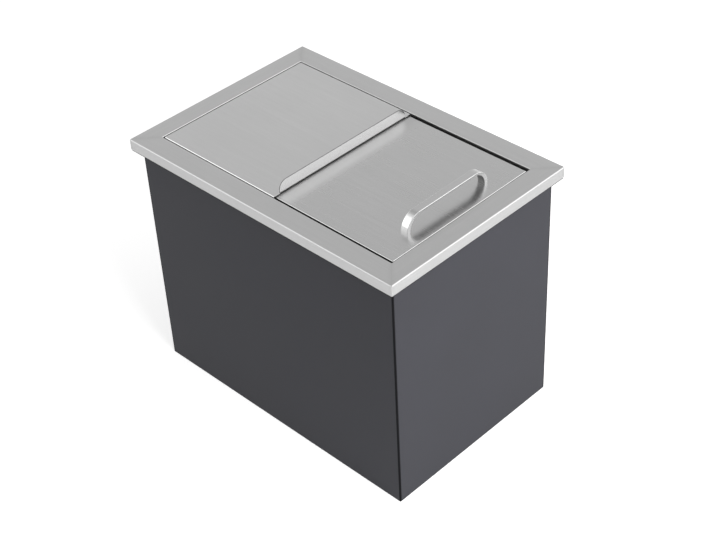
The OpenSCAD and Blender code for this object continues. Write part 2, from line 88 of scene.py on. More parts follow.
# Lowest and highest corners of the CAD pieces that others are built to
RIM_LOW, RIM_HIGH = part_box("rim_frame")
SEAT_LOW, SEAT_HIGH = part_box("lid_seat_frame")
WALL_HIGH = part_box("tub_walls")[1]
FLOOR_LOW, FLOOR_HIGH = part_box("tub_floor")
CASE_LOW, CASE_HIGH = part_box("case_wrap")
BASE_LOW, BASE_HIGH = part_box("case_base")
UPPER_LOW, UPPER_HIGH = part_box("upper_lid")
LOWER_LOW, LOWER_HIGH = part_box("lower_lid")
GRIP_LOW, GRIP_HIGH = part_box("lid_handle")
FLANGE_LOW, FLANGE_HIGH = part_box("drain_flange")
PORT_LOW, PORT_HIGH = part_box("foam_port_plug")


# Settings that a user would change


class SheetSizes(bpy.types.PropertyGroup):
    """Gauges and bends of the folded sheets"""

    rim_sheet: FloatProperty(
        name="Rim gauge",
        description="Thickness of the rim's sheet",
        default=1.2 * MM,
        unit="LENGTH",
    )
    rim_bend: FloatProperty(
        name="Rim bend",
        description="Outside radius of the bend along the rim's outer edge",
        default=2 * MM,
        unit="LENGTH",
    )
    mouth_round: FloatProperty(
        name="Mouth edge",
        description="Rounding of the rim's edge round the mouth",
        default=1.15 * MM,
        unit="LENGTH",
    )
    rim_return: FloatProperty(
        name="Rim return",
        description="Width of the return at the foot of the rim's lip",
        default=9 * MM,
        unit="LENGTH",
    )
    lid_sheet: FloatProperty(
        name="Lid gauge",
        description="Thickness of both lids' sheet",
        default=1.2 * MM,
        unit="LENGTH",
    )
    lid_bend: FloatProperty(
        name="Lid bend",
        description="Outside radius of the lids' folded edges",
        default=1.8 * MM,
        unit="LENGTH",
    )
    case_sheet: FloatProperty(
        name="Case gauge",
        description="Thickness of the case's and the base's sheet",
        default=1 * MM,
        unit="LENGTH",
    )
    case_bend: FloatProperty(
        name="Case bend",
        description="Outside radius of the case's folded edges",
        default=1.6 * MM,
        unit="LENGTH",
    )
    skirt_return: FloatProperty(
        name="Skirt return",
        description="Width of the base's return; the case's return is wider by one gauge",
        default=15 * MM,
        unit="LENGTH",
    )
    tub_sheet: FloatProperty(
        name="Tub gauge",
        description="Thickness of the tub's and the lid seat's sheet",
        default=1 * MM,
        unit="LENGTH",
    )
    tub_corner: FloatProperty(
        name="Tub corner",
        description="Inside radius of the tub's upright corners",
        default=12 * MM,
        unit="LENGTH",
    )
    tub_cove: FloatProperty(
        name="Tub cove",
        description="Inside radius between the tub's walls and its floor",
        default=5 * MM,
        unit="LENGTH",
    )
    sump_length: FloatProperty(
        name="Sump length",
        description="Length of the level strip of floor that holds the drain",
        default=74 * MM,
        unit="LENGTH",
    )
    cut_round: FloatProperty(
        name="Cut edge",
        description="Rounding of the sheets' cut edges",
        default=0.18 * MM,
        unit="LENGTH",
    )


class LidSizes(bpy.types.PropertyGroup):
    """Upturned lip and bar handle"""

    lip_inset: FloatProperty(
        name="Lip inset",
        description="Distance from each end of the upturned lip to the side of the lid",
        default=12.25 * MM,
        unit="LENGTH",
    )
    lip_corner: FloatProperty(
        name="Lip corner",
        description="Radius of the upturned lip's two top corners",
        default=13 * MM,
        unit="LENGTH",
    )
    lip_bend: FloatProperty(
        name="Lip bend",
        description="Inside radius of the bend where the lip turns up",
        default=0.8 * MM,
        unit="LENGTH",
    )
    relief: FloatProperty(
        name="Relief slot",
        description="Width of the slot that frees the lip's bend at each end",
        default=0.4 * MM,
        unit="LENGTH",
    )
    bar_thickness: FloatProperty(
        name="Bar thickness",
        description="Thickness of the handle's top bar",
        default=2.7 * MM,
        unit="LENGTH",
    )
    foot_thickness: FloatProperty(
        name="Foot thickness",
        description="Thickness of each handle foot",
        default=7 * MM,
        unit="LENGTH",
    )
    arch_start: FloatProperty(
        name="Arch start",
        description="Height of the handle's foot below its outer arch",
        default=0.5 * MM,
        unit="LENGTH",
    )
    grip_edge: FloatProperty(
        name="Handle edge",
        description="Rounding of the handle's long edges",
        default=0.8 * MM,
        unit="LENGTH",
    )


class Finishes(bpy.types.PropertyGroup):
    """Colours and roughness of the finishes"""

    rim_steel: FloatVectorProperty(
        name="Rim steel",
        description="Reflected colour of the rim",
        subtype="COLOR",
        size=3,
        default=(0.51, 0.51, 0.51),
    )
    fixed_steel: FloatVectorProperty(
        name="Fixed lid steel",
        description="Reflected colour of the fixed lid, the lid seat and the tub",
        subtype="COLOR",
        size=3,
        default=(0.56, 0.56, 0.56),
    )
    sliding_steel: FloatVectorProperty(
        name="Sliding lid steel",
        description="Reflected colour of the sliding lid",
        subtype="COLOR",
        size=3,
        default=(0.50, 0.50, 0.50),
    )
    satin_roughness: FloatProperty(
        name="Satin roughness",
        description="Mean roughness of the brushed sheets",
        subtype="FACTOR",
        min=0,
        max=1,
        default=0.30,
    )
    handle_steel: FloatVectorProperty(
        name="Handle steel",
        description="Reflected colour of the handle",
        subtype="COLOR",
        size=3,
        default=(0.60, 0.60, 0.60),
    )
    fitting_steel: FloatVectorProperty(
        name="Fitting steel",
        description="Reflected colour of the drain fittings, the screws and their washers",
        subtype="COLOR",
        size=3,
        default=(0.60, 0.60, 0.60),
    )
    bright_roughness: FloatProperty(
        name="Polished roughness",
        description="Mean roughness of the handle, its screws and washers, and the drain fittings",
        subtype="FACTOR",
        min=0,
        max=1,
        default=0.20,
    )
    paint: FloatVectorProperty(
        name="Case paint",
        description="Colour of the paint on the case, the base and the rivets",
        subtype="COLOR",
        size=3,
        default=(0.035, 0.0354, 0.0425),
    )
    paint_roughness: FloatProperty(
        name="Paint roughness",
        description="Mean roughness of that paint",
        subtype="FACTOR",
        min=0,
        max=1,
        default=0.46,
    )
    rubber: FloatVectorProperty(
        name="Rubber",
        description="Colour of the plugs, the gasket, the grommet and the buffers",
        subtype="COLOR",
        size=3,
        default=(0.013, 0.013, 0.013),
    )
    nylon: FloatVectorProperty(
        name="Nylon",
        description="Colour of the rails, the rests and the spout",
        subtype="COLOR",
        size=3,
        default=(0.024, 0.024, 0.026),
    )
    tape: FloatVectorProperty(
        name="Sealing tape",
        description="Colour of the closed-cell tape under the rim",
        subtype="COLOR",
        size=3,
        default=(0.02, 0.02, 0.02),
    )
    foam: FloatVectorProperty(
        name="Foam",
        description="Colour of the insulating foam",
        subtype="COLOR",
        size=3,
        default=(0.70, 0.60, 0.34),
    )


class StageLook(bpy.types.PropertyGroup):
    """Camera, floor and light"""

    camera_place: FloatVectorProperty(
        name="Camera place",
        description="Where the camera stands",
        subtype="TRANSLATION",
        unit="LENGTH",
        size=3,
        default=(1.31683, -1.24740, 1.61199),
    )
    camera_yaw: FloatProperty(
        name="Camera yaw",
        description="Direction that the camera looks in, from +X towards +Y",
        subtype="ANGLE",
        default=math.radians(136.13),
    )
    camera_pitch: FloatProperty(
        name="Camera pitch",
        description="Angle of the camera above the horizon",
        subtype="ANGLE",
        default=math.radians(-37.97),
    )
    camera_roll: FloatProperty(
        name="Camera roll",
        description="Turn of the camera about its own axis",
        subtype="ANGLE",
        default=math.radians(-3.23),
    )
    camera_lens: FloatProperty(
        name="Lens",
        description="Focal length on a 36 mm wide sensor",
        unit="CAMERA",
        default=77.33,
    )
    back_power: FloatProperty(
        name="Back softbox",
        description="Power of the softbox behind the end with the handle",
        unit="POWER",
        default=22,
    )
    left_power: FloatProperty(
        name="Left softbox",
        description="Power of the softbox in front of the left end",
        unit="POWER",
        default=14.5,
    )
    right_power: FloatProperty(
        name="Right softbox",
        description="Power of the low softbox beside the right end",
        unit="POWER",
        default=56,
    )
    ambient: FloatProperty(
        name="Ambient light",
        description="Strength of the even light from all round",
        subtype="FACTOR",
        min=0,
        max=1,
        default=0.35,
    )
    overhead: FloatProperty(
        name="Overhead tone",
        description="How bright the studio straight overhead shows in metal, where 1 is white",
        subtype="FACTOR",
        min=0,
        max=1,
        default=0.50,
    )
    floor_glow: FloatProperty(
        name="Floor white",
        description="Part of the floor's white that doesn't depend on the light",
        subtype="FACTOR",
        min=0,
        max=1,
        default=0.60,
    )
    floor_in_metal: FloatProperty(
        name="Floor white in metal",
        description="The same part as the metal and the paint reflect it",
        subtype="FACTOR",
        min=0,
        max=1,
        default=0.45,
    )


SETTINGS = {"sheets": SheetSizes, "lids": LidSizes, "finishes": Finishes, "stage": StageLook}


def settings(kind):
    """The scene's settings of that kind, a key of SETTINGS."""
    return getattr(bpy.context.scene, "icebin_" + kind)


def mouth_half():
    """Half the width and half the depth of the rim's mouth."""
    sheet = settings("sheets").tub_sheet
    return SEAT_HIGH.x - sheet, SEAT_HIGH.y - sheet


# Outlines


def bent_path(corners):
    """Points along a line through (u, v, radius) corners, each rounded by its radius."""
    points = []
    for i, (u, v, radius) in enumerate(corners):
        here = Vector((u, v))
        if radius <= 0:
            points.append(here)
            continue
        before = (Vector(corners[i - 1][:2]) - here).normalized()
        after = (Vector(corners[(i + 1) % len(corners)][:2]) - here).normalized()
        half_angle = before.angle(after) / 2
        reach = radius / math.tan(half_angle)
        centre = here + (before + after).normalized() * (radius / math.sin(half_angle))
        first = here + before * reach - centre
        start = math.atan2(first.y, first.x)
        sweep = math.copysign(math.pi - 2 * half_angle, before.cross(after))
        for k in range(BEND_STEPS + 1):
            turn = start - sweep * k / BEND_STEPS
            points.append(centre + Vector((math.cos(turn), math.sin(turn))) * radius)
    return points


def even_stops(count):
    """Places from -1 to 1 in that many equal steps."""
    return [2 * k / count - 1 for k in range(count + 1)]


# Stops along X and along Y of a plain ring, and of the closer ones round the tub
RING_STOPS = (even_stops(8), even_stops(6))
TUB_STOPS = (even_stops(28), even_stops(12))


def quarter_turn(steps=BEND_STEPS):
    """Angles from nothing to a right angle, in that many equal steps."""
    return [math.radians(90 * k / steps) for k in range(steps + 1)]


def plan_of(low, high):
    """Half the width and depth of a box, and its centre, as seen from above."""
    half = ((high.x - low.x) / 2, (high.y - low.y) / 2)
    return half, ((high.x + low.x) / 2, (high.y + low.y) / 2)


def corner_arc(centre_x, centre_y, radius, start):
    """Points inside a quarter turn from start degrees, without its two ends."""
    turns = [math.radians(start + 90 * k / CORNER_STEPS) for k in range(1, CORNER_STEPS)]
    return [(centre_x + radius * math.cos(a), centre_y + radius * math.sin(a)) for a in turns]


def raised(points, height):
    """3D points above flat ones, at a level or at a function of x."""
    if callable(height):
        return [Vector((x, y, height(x))) for x, y in points]
    return [Vector((x, y, height)) for x, y in points]


def ring(half_x, half_y, corner, height, centre=(0, 0), stops=RING_STOPS):
    """Closed loop round a rectangle with round corners, anticlockwise from its front left."""
    x_stops, y_stops = stops
    flat_x, flat_y = half_x - corner, half_y - corner
    flat = [(s * flat_x, -half_y) for s in x_stops]
    flat += corner_arc(flat_x, -flat_y, corner, -90)
    flat += [(half_x, s * flat_y) for s in y_stops]
    flat += corner_arc(flat_x, flat_y, corner, 0)
    flat += [(-s * flat_x, half_y) for s in x_stops]
    flat += corner_arc(-flat_x, flat_y, corner, 90)
    flat += [(-half_x, -s * flat_y) for s in y_stops]
    flat += corner_arc(-flat_x, -flat_y, corner, 180)
    return raised([(x + centre[0], y + centre[1]) for x, y in flat], height)


def rings_along(half_x, half_y, corner, path, **places):
    """One ring for each (inset, level) of a folded edge's path."""
    return [ring(half_x - u, half_y - u, max(corner - u, 0), v, **places) for u, v in path]


def plate_rows(half_x, half_y, level, centre=(0, 0)):
    """Rows of points over a flat rectangle that fit the rings round it."""
    x_stops, y_stops = RING_STOPS
    return [
        [Vector((centre[0] + s * half_x, centre[1] + t * half_y, level)) for s in x_stops]
        for t in y_stops
    ]


def pin_section(radius, low, high):
    """Section of a plain pin, which cuts a hole."""
    return [(0, low), (radius, low), (radius, high), (0, high)]


def turned_loops(section, centre=(0, 0), steps=TURN_STEPS):
    """Loops of a turned piece, one for each (radius, level) of its section."""
    angles = [2 * math.pi * k / steps for k in range(steps)]
    return [
        [Vector((centre[0] + r * math.cos(a), centre[1] + r * math.sin(a), z)) for a in angles]
        for r, z in section
    ]


class Shell:
    """Gathers loops and grids of points and the faces between them into one mesh."""

    def __init__(self):
        self.bm = bmesh.new()

    def loft(self, loops, round_about=True, closed=False):
        """Faces between each loop and the next, and from the last to the first if closed."""
        rows = [[self.bm.verts.new(p) for p in loop] for loop in loops]
        pairs = list(zip(rows, rows[1:]))
        if closed:
            pairs.append((rows[-1], rows[0]))
        for low, high in pairs:
            count = len(low)
            for k in range(count if round_about else count - 1):
                after = (k + 1) % count
                self.bm.faces.new((low[k], low[after], high[after], high[k]))

    def grid(self, rows):
        """A sheet of faces over equal rows of points."""
        self.loft(rows, round_about=False)

    def cap(self, loop):
        """One flat face over a loop."""
        self.bm.faces.new([self.bm.verts.new(p) for p in loop])

    def make(self, name, facing=None):
        """The welded mesh as an object. facing is a (point, direction) that one face looks along."""
        bm = self.bm
        bmesh.ops.remove_doubles(bm, verts=bm.verts, dist=WELD_DISTANCE)
        bmesh.ops.dissolve_degenerate(bm, edges=bm.edges, dist=WELD_DISTANCE)
        bmesh.ops.recalc_face_normals(bm, faces=bm.faces)
        if facing:
            point, direction = Vector(facing[0]), Vector(facing[1])
            nearest = min(bm.faces, key=lambda f: (f.calc_center_median() - point).length)
            if nearest.normal.dot(direction) < 0:
                bmesh.ops.reverse_faces(bm, faces=bm.faces)
        mesh = bpy.data.meshes.new(name)
        bm.to_mesh(mesh)
        bm.free()
        piece = bpy.data.objects.new(name, mesh)
        bpy.context.scene.collection.objects.link(piece)
        return piece


def turned(name, section, centre=(0, 0), closed=False):
    """A piece turned from its (radius, level) section, which is closed if the piece has a bore."""
    shell = Shell()
    shell.loft(turned_loops(section, centre), closed=closed)
    return shell.make(name)


# Treatment of finished shapes


def settle(piece):
    """Puts the result of the piece's modifiers into its mesh."""
    graph = bpy.context.evaluated_depsgraph_get()
    mesh = bpy.data.meshes.new_from_object(piece.evaluated_get(graph))
    piece.modifiers.clear()
    piece.data = mesh


def thicken(piece, gauge):
    """Gives a skin its gauge, on the side away from its faces."""
    sheet = piece.modifiers.new("Gauge", "SOLIDIFY")
    sheet.thickness = gauge
    sheet.offset = -1
    sheet.use_even_offset = True
    settle(piece)


def add_bevel(piece, width):
    """Adds the modifier that rounds a piece's edges."""
    bevel = piece.modifiers.new("Rounded edges", "BEVEL")
    bevel.width = width
    bevel.segments = 2
    bevel.limit_method = "ANGLE"
    bevel.angle_limit = ROUNDED_FROM


def round_edges(piece, width):
    """Rounds a piece's edges in its mesh."""
    add_bevel(piece, width)
    settle(piece)


def smooth(piece):
    """Smooth shading that keeps flat faces flat and sharp edges sharp."""
    piece.data.shade_smooth()
    piece.data.set_sharp_from_angle(angle=SHARP_FROM)
    weighted = piece.modifiers.new("Flat faces", "WEIGHTED_NORMAL")
    weighted.keep_sharp = True
    weighted.weight = 80


def cut_away(piece, cutter):
    """Takes the cutter's shape out of the piece."""
    cut = piece.modifiers.new("Cut", "BOOLEAN")
    cut.operation = "DIFFERENCE"
    cut.solver = "EXACT"
    cut.object = cutter
    settle(piece)
    bpy.data.objects.remove(cutter)


def coat(piece, material):
    """Gives a piece one material in place of what it has."""
    piece.data.materials.clear()
    piece.data.materials.append(material)


def place(piece, body, material, node):
    """Ties a finished piece to its body, its material and the node it stands for."""
    if not piece.data.polygons:
        raise RuntimeError(piece.name + " has no faces")
    coat(piece, material)
    smooth(piece)
    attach(piece, body)
    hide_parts(node)


def dress(node, material, edge):
    """Gives a CAD node its material and rounded edges, and leaves its mesh as it is."""
    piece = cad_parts[node]
    coat(piece, material)
    add_bevel(piece, edge)


# Shader groups

# On a Mix node: the number of the first value's input, and of the result's output
MIX_SOCKETS = {"RGBA": (6, 2), "FLOAT": (2, 0)}


class Desk:
    """Adds and wires the nodes of one shader tree."""

    def __init__(self, tree):
        self.tree = tree

    def add(self, kind, feeds=None, **options):
        """A node with its options set and its inputs fed."""
        node = self.tree.nodes.new(kind)
        for name, value in options.items():
            setattr(node, name, value)
        for name, value in (feeds or {}).items():
            self.feed(node.inputs[name], value)
        return node

    def feed(self, socket, value):
        """Links a socket into another, or sets its value."""
        if isinstance(value, bpy.types.NodeSocket):
            self.tree.links.new(value, socket)
        else:
            socket.default_value = value

    def result(self, kind, values, **options):
        """The first output of a node whose first inputs are fed in their order."""
        node = self.add(kind, **options)
        for socket, value in zip(node.inputs, values):
            self.feed(socket, value)
        return node.outputs[0]

    def math(self, operation, *values):
        """The result of one math node."""
        return self.result("ShaderNodeMath", values, operation=operation)

    def both(self, first, second):
        """The product of two masks: 1 where both are 1."""
        return self.math("MULTIPLY", first, second)

    def plus(self, value, share, amount):
        """value with that amount of share added."""
        return self.math("ADD", value, self.math("MULTIPLY", share, amount))

    def sum_of_products(self, first, second):
        """The product of one pair of values plus that of another pair."""
        return self.math("ADD", self.math("MULTIPLY", *first), self.math("MULTIPLY", *second))

    def ramp(self, value, low, high, to_low=0.0, to_high=1.0):
        """value taken from low..high to to_low..to_high, held at both ends."""
        return self.result("ShaderNodeMapRange", (value, low, high, to_low, to_high), clamp=True)

    def blend(self, share, first, second, kind="RGBA"):
        """Between two colours, or between two numbers where kind is FLOAT."""
        start, end = MIX_SOCKETS[kind]
        node = self.add("ShaderNodeMix", data_type=kind)
        self.feed(node.inputs[0], share)
        self.feed(node.inputs[start], first)
        self.feed(node.inputs[start + 1], second)
        return node.outputs[end]

    def noise(self, vector, scale, detail, roughness):
        """Value of a noise texture."""
        feeds = {"Vector": vector, "Scale": scale, "Detail": detail, "Roughness": roughness}
        return self.add("ShaderNodeTexNoise", feeds).outputs[0]

    def scaled(self, colour, factor):
        """The colour times one factor."""
        node = self.add("ShaderNodeVectorMath", {"Scale": factor}, operation="SCALE")
        self.feed(node.inputs[0], colour)
        return node.outputs[0]

    def stretched(self, vector, scales):
        """The vector with each axis scaled."""
        return self.result("ShaderNodeVectorMath", (vector, scales), operation="MULTIPLY")

    def own_place(self):
        """A point's place in the piece's own frame."""
        return self.add("ShaderNodeTexCoord").outputs["Object"]

    def axes_of(self, vector):
        """The vector's three numbers, by the names X, Y and Z."""
        return self.add("ShaderNodeSeparateXYZ", {"Vector": vector}).outputs

    def show(self, shader, kind="ShaderNodeOutputMaterial"):
        """Sends a shader to the tree's output."""
        self.feed(self.add(kind).inputs["Surface"], shader.outputs[0])


def new_group(name, inputs, outputs):
    """An empty shader group with sockets for values, and its desk, entry and exit."""
    tree = bpy.data.node_groups.new(name, "ShaderNodeTree")
    for label, default in inputs.items():
        socket = tree.interface.new_socket(label, in_out="INPUT", socket_type="NodeSocketFloat")
        socket.default_value = default
    for label in outputs:
        tree.interface.new_socket(label, in_out="OUTPUT", socket_type="NodeSocketFloat")
    entry = tree.nodes.new("NodeGroupInput")
    leave = tree.nodes.new("NodeGroupOutput")
    return Desk(tree), entry.outputs, leave.inputs


def group_of(name, build):
    """The shader group of that name, built the first time it is asked for."""
    if name not in bpy.data.node_groups:
        build(name)
    return bpy.data.node_groups[name]


def build_brushed_grain(name):
    """Fine brush lines that run along X where Along Y is 0 and along Y where it is 1."""
    desk, entry, leave = new_group(
        name, {"Along Y": 0.0, "Lines per metre": 900.0, "Streak": 0.03}, ("Tone", "Height")
    )
    where = desk.own_place()
    fine = entry["Lines per metre"]
    long = desk.math("MULTIPLY", fine, entry["Streak"])
    streaks = []
    for scales in ((long, fine, fine), (fine, long, fine)):
        drawn_out = desk.stretched(where, desk.result("ShaderNodeCombineXYZ", scales))
        lines = desk.noise(drawn_out, 1.0, 3.0, 0.62)
        broad = desk.noise(drawn_out, 0.19, 2.0, 0.5)
        streaks.append(desk.sum_of_products((lines, 0.62), (broad, 0.38)))
    mixed = desk.blend(entry["Along Y"], *streaks, kind="FLOAT")
    desk.feed(leave["Tone"], desk.ramp(mixed, 0.3, 0.7))
    desk.feed(leave["Height"], mixed)


def build_handling_marks(name):
    """Soft clouds and wipes where hands and cloths have dulled a surface."""
    desk, entry, leave = new_group(name, {"Clouds per metre": 9.0, "Wipe": 0.35}, ("Dull",))
    where = desk.own_place()
    clouds = desk.noise(where, entry["Clouds per metre"], 4.0, 0.6)
    wiped = desk.noise(desk.stretched(where, (4.0, 22.0, 22.0)), 1.0, 3.0, 0.55)
    rest = desk.math("SUBTRACT", 1.0, entry["Wipe"])
    marks = desk.sum_of_products((wiped, entry["Wipe"]), (clouds, rest))
    desk.feed(leave["Dull"], desk.ramp(marks, 0.36, 0.66))


def build_mitre_weld(name):
    """Ground-down weld along the rim's four mitres, and which bands are brushed along Y."""
    mouth_x, mouth_y = mouth_half()
    desk, entry, leave = new_group(
        name,
        {"Mouth X": mouth_x, "Mouth Y": mouth_y, "Slope": 1.07, "Width": 9 * MM},
        ("Weld", "Short band", "Seam"),
    )
    where = desk.own_place()
    axes = desk.axes_of(where)
    past_x = desk.math("SUBTRACT", desk.math("ABSOLUTE", axes["X"]), entry["Mouth X"])
    past_y = desk.math("SUBTRACT", desk.math("ABSOLUTE", axes["Y"]), entry["Mouth Y"])
    lead = desk.math("SUBTRACT", desk.math("MULTIPLY", past_x, entry["Slope"]), past_y)
    waver = desk.math("SUBTRACT", desk.noise(where, 60.0, 3.0, 0.6), 0.5)
    offset = desk.math("ABSOLUTE", desk.plus(lead, waver, 10 * MM))
    near_x, near_y = (desk.ramp(past, -6 * MM, 2 * MM) for past in (past_x, past_y))
    at_corner = desk.both(near_x, near_y)
    band = desk.ramp(offset, entry["Width"], 0.0)
    desk.feed(leave["Weld"], desk.both(band, at_corner))
    desk.feed(leave["Short band"], desk.math("GREATER_THAN", lead, 0.0))
    seam = desk.ramp(desk.math("ABSOLUTE", lead), 0.6 * MM, 0.2 * MM)
    desk.feed(leave["Seam"], desk.both(seam, at_corner))


def build_coat_skin(name):
    """Orange peel and faint clouding of a baked paint or a moulded plastic."""
    desk, entry, leave = new_group(
        name, {"Peel per metre": 420.0, "Grit per metre": 2600.0}, ("Tone", "Height", "Speck")
    )
    where = desk.own_place()
    peel = desk.noise(where, entry["Peel per metre"], 1.0, 0.4)
    grit = desk.noise(where, entry["Grit per metre"], 2.0, 0.6)
    desk.feed(leave["Height"], desk.sum_of_products((peel, 0.7), (grit, 0.3)))
    desk.feed(leave["Tone"], desk.ramp(desk.noise(where, 7.0, 5.0, 0.62), 0.34, 0.66))
    desk.feed(leave["Speck"], desk.ramp(desk.noise(where, 1500.0, 1.0, 0.5), 0.66, 0.78))


def build_painted_fold_shade(name):
    """Mask of the case's four upright folds, where the paint gets a painted shade and more roughness."""
    desk, entry, leave = new_group(
        name, {"Half X": CASE_HIGH.x, "Half Y": CASE_HIGH.y, "Reach": 3.2 * MM}, ("Fold",)
    )
    axes = desk.axes_of(desk.own_place())
    depths = []
    for axis in ("X", "Y"):
        depth = desk.math("SUBTRACT", entry["Half " + axis], desk.math("ABSOLUTE", axes[axis]))
        depths.append(desk.math("MAXIMUM", depth, 0.0))
    from_fold = desk.math("ADD", *depths)
    full = desk.math("MULTIPLY", entry["Reach"], 0.5)
    desk.feed(leave["Fold"], desk.ramp(from_fold, entry["Reach"], full))


def build_foam_cells(name):
    """Open and closed cells of cut or skinned foam."""
    desk, entry, leave = new_group(name, {"Cells per metre": 900.0}, ("Tone", "Height"))
    where = desk.own_place()
    cells = desk.add("ShaderNodeTexVoronoi", {"Vector": where, "Scale": entry["Cells per metre"]})
    desk.feed(leave["Height"], cells.outputs["Distance"])
    desk.feed(leave["Tone"], desk.ramp(desk.noise(where, 30.0, 4.0, 0.6), 0.3, 0.7))


# Finishes


def new_material(name):
    """A material without nodes, and its desk."""
    material = bpy.data.materials.new(name)
    material.use_nodes = True
    material.node_tree.nodes.clear()
    return material, Desk(material.node_tree)


def new_finish(name, colour, roughness, metallic=0.0, specular=0.5):
    """A material with its desk and its principled shader, whose plain values are set."""
    material, desk = new_material(name)
    shader = desk.add("ShaderNodeBsdfPrincipled", {
        "Base Color": (*colour, 1),
        "Roughness": roughness,
        "Metallic": metallic,
        "Specular IOR Level": specular,
    })
    desk.show(shader)
    material.diffuse_color = (*colour, 1)
    return material, desk, shader


def use_group(desk, name, build, **values):
    """Places a shader group, with underscores in the value names read as spaces."""
    node = desk.add("ShaderNodeGroup", node_tree=group_of(name, build))
    for label, value in values.items():
        desk.feed(node.inputs[label.replace("_", " ")], value)
    return node.outputs


def shaded(colour, factor):
    """The colour made darker or lighter, as four numbers."""
    return (*(channel * factor for channel in colour), 1)


def add_bump(desk, shader, height, strength, distance):
    """Height into the shader's normal."""
    feeds = {"Strength": strength, "Distance": distance, "Height": height}
    bump = desk.add("ShaderNodeBump", feeds)
    desk.feed(shader.inputs["Normal"], bump.outputs["Normal"])


def retoned(desk, look, share, factor, added=0.0):
    """A (tone, roughness) pair: the tone times factor and the roughness plus added, where share is 1."""
    tone, rough = look
    gain = desk.ramp(share, 0.0, 1.0, 1.0, factor)
    return desk.scaled(tone, gain), desk.plus(rough, share, added)


def place_and_facing(desk):
    """Sockets of a point's place and of its surface's direction, both in the piece's own frame."""
    own = desk.add("ShaderNodeTexCoord").outputs
    return desk.axes_of(own["Object"]), desk.axes_of(own["Normal"])


def bent_down(desk, facing, bent=0.88, level=0.98):
    """0 where a surface's direction has a Z above level, and 1 where it has turned down to bent."""
    return desk.ramp(facing["Z"], level, bent)


def sliding_lid_rub_and_painted_light(desk, look):
    """The end that rubs under the fixed lid is dull, the folds get a painted highlight and their feet a
    painted shade.
    """
    spot, facing = place_and_facing(desk)
    rubbed, clear = UPPER_HIGH.x + 9 * MM, UPPER_HIGH.x + 31 * MM
    look = retoned(desk, look, desk.ramp(spot["X"], clear, rubbed), 1.04, 0.2)
    # Painted highlight: the folds that turn down are brightened
    look = retoned(desk, look, bent_down(desk, facing), 1.75)
    # Painted shade: the feet of the folds, in the gap beside the rim, are darkened nearly to black
    low = desk.ramp(spot["Z"], LOWER_HIGH.z - 0.45 * MM, LOWER_HIGH.z - 0.65 * MM)
    outside = desk.ramp(facing["Z"], -0.9, -0.5)
    return retoned(desk, look, desk.both(low, outside), 0.08, 0.1)


def rim_painted_highlight(desk, look):
    """Painted highlight along the bends, strongest at the two ends, where the roughness is also a little
    lower.
    """
    facing = place_and_facing(desk)[1]
    bend = desk.both(bent_down(desk, facing), desk.ramp(facing["Z"], 0.2, 0.4))
    ends = desk.ramp(desk.math("ABSOLUTE", facing["Y"]), 0.25, 0.05, 0.3, 1.0)
    # Painted highlight: the bends are brightened, most where they face along X
    return retoned(desk, look, desk.both(bend, ends), 1.5, -0.04)


def fixed_lid_highlight_and_dark_edge(desk, look):
    """Painted highlights on the folds and on the upturned lip, whose cut edge is darker."""
    spot, facing = place_and_facing(desk)
    plate = desk.ramp(spot["Z"], RIM_HIGH.z + 0.4 * MM, RIM_HIGH.z + 0.1 * MM)
    # Painted highlight on the plate's folds
    look = retoned(desk, look, desk.both(plate, bent_down(desk, facing)), 1.6)
    lip = desk.ramp(spot["Z"], RIM_HIGH.z + 0.5 * MM, RIM_HIGH.z + 1.5 * MM)
    # Painted highlight on the upturned lip, which is also a little smoother
    look = retoned(desk, look, lip, 1.74, -0.06)
    cut = desk.ramp(desk.math("ABSOLUTE", facing["X"]), 0.9, 0.5)
    return retoned(desk, look, desk.both(lip, cut), 0.15, 0.1)


def handle_painted_light(desk, look):
    """Painted light: the flat top is darkened, the rounded parts get a painted highlight, and the inner
    side a painted shade with more roughness.
    """
    spot, facing = place_and_facing(desk)
    middle_y = plan_of(GRIP_LOW, GRIP_HIGH)[1][1]
    along = desk.math("SUBTRACT", spot["Y"], middle_y)
    height = desk.math("SUBTRACT", spot["Z"], GRIP_LOW.z)
    outward = desk.sum_of_products((along, facing["Y"]), (height, facing["Z"]))
    rounded = bent_down(desk, facing, bent=0.90)
    # Painted shade on the flat top
    look = retoned(desk, look, desk.math("SUBTRACT", 1.0, rounded), 0.84)
    # Painted highlight on the rounded parts
    look = retoned(desk, look, rounded, 1.48, 0.06)
    # Painted shade on the side towards the lid
    return retoned(desk, look, desk.ramp(outward, 0.0, -2 * MM), 0.35, 0.2)


def brushed_steel(name, colour, roughness, wear_and_painted_light=None, along_y=0.0, mitred=False, grain=1.0):
    """Brushed sheet, dulled a little by handling, with ground welds or with wear and painted light of its
    own.
    """
    material, desk, shader = new_finish(name, colour, roughness, metallic=1.0)
    marks = use_group(desk, "Handling marks", build_handling_marks)
    if mitred:
        rim = use_group(desk, "Mitre weld", build_mitre_weld)
        along_y = rim["Short band"]
    lines = use_group(desk, "Brushed grain", build_brushed_grain, Along_Y=along_y)
    dark, light = shaded(colour, 1 - 0.06 * grain), shaded(colour, 1 + 0.05 * grain)
    tone = desk.blend(lines["Tone"], dark, light)
    tone = desk.blend(desk.math("MULTIPLY", marks["Dull"], 0.5), tone, shaded(colour, 0.965))
    rough = desk.plus(roughness - 0.03, lines["Tone"], 0.05 * grain)
    rough = desk.plus(rough, marks["Dull"], 0.045)
    height = desk.math("MULTIPLY", lines["Height"], 0.4 * grain)
    look = (tone, rough)
    if mitred:
        look = retoned(desk, look, rim["Weld"], 0.96, 0.05)
        look = retoned(desk, look, rim["Seam"], 0.955)
        height = desk.plus(height, rim["Seam"], -0.08)
    if wear_and_painted_light:
        look = wear_and_painted_light(desk, look)
    desk.feed(shader.inputs["Base Color"], look[0])
    desk.feed(shader.inputs["Roughness"], look[1])
    add_bump(desk, shader, height, 0.25, 0.05 * MM)
    return material


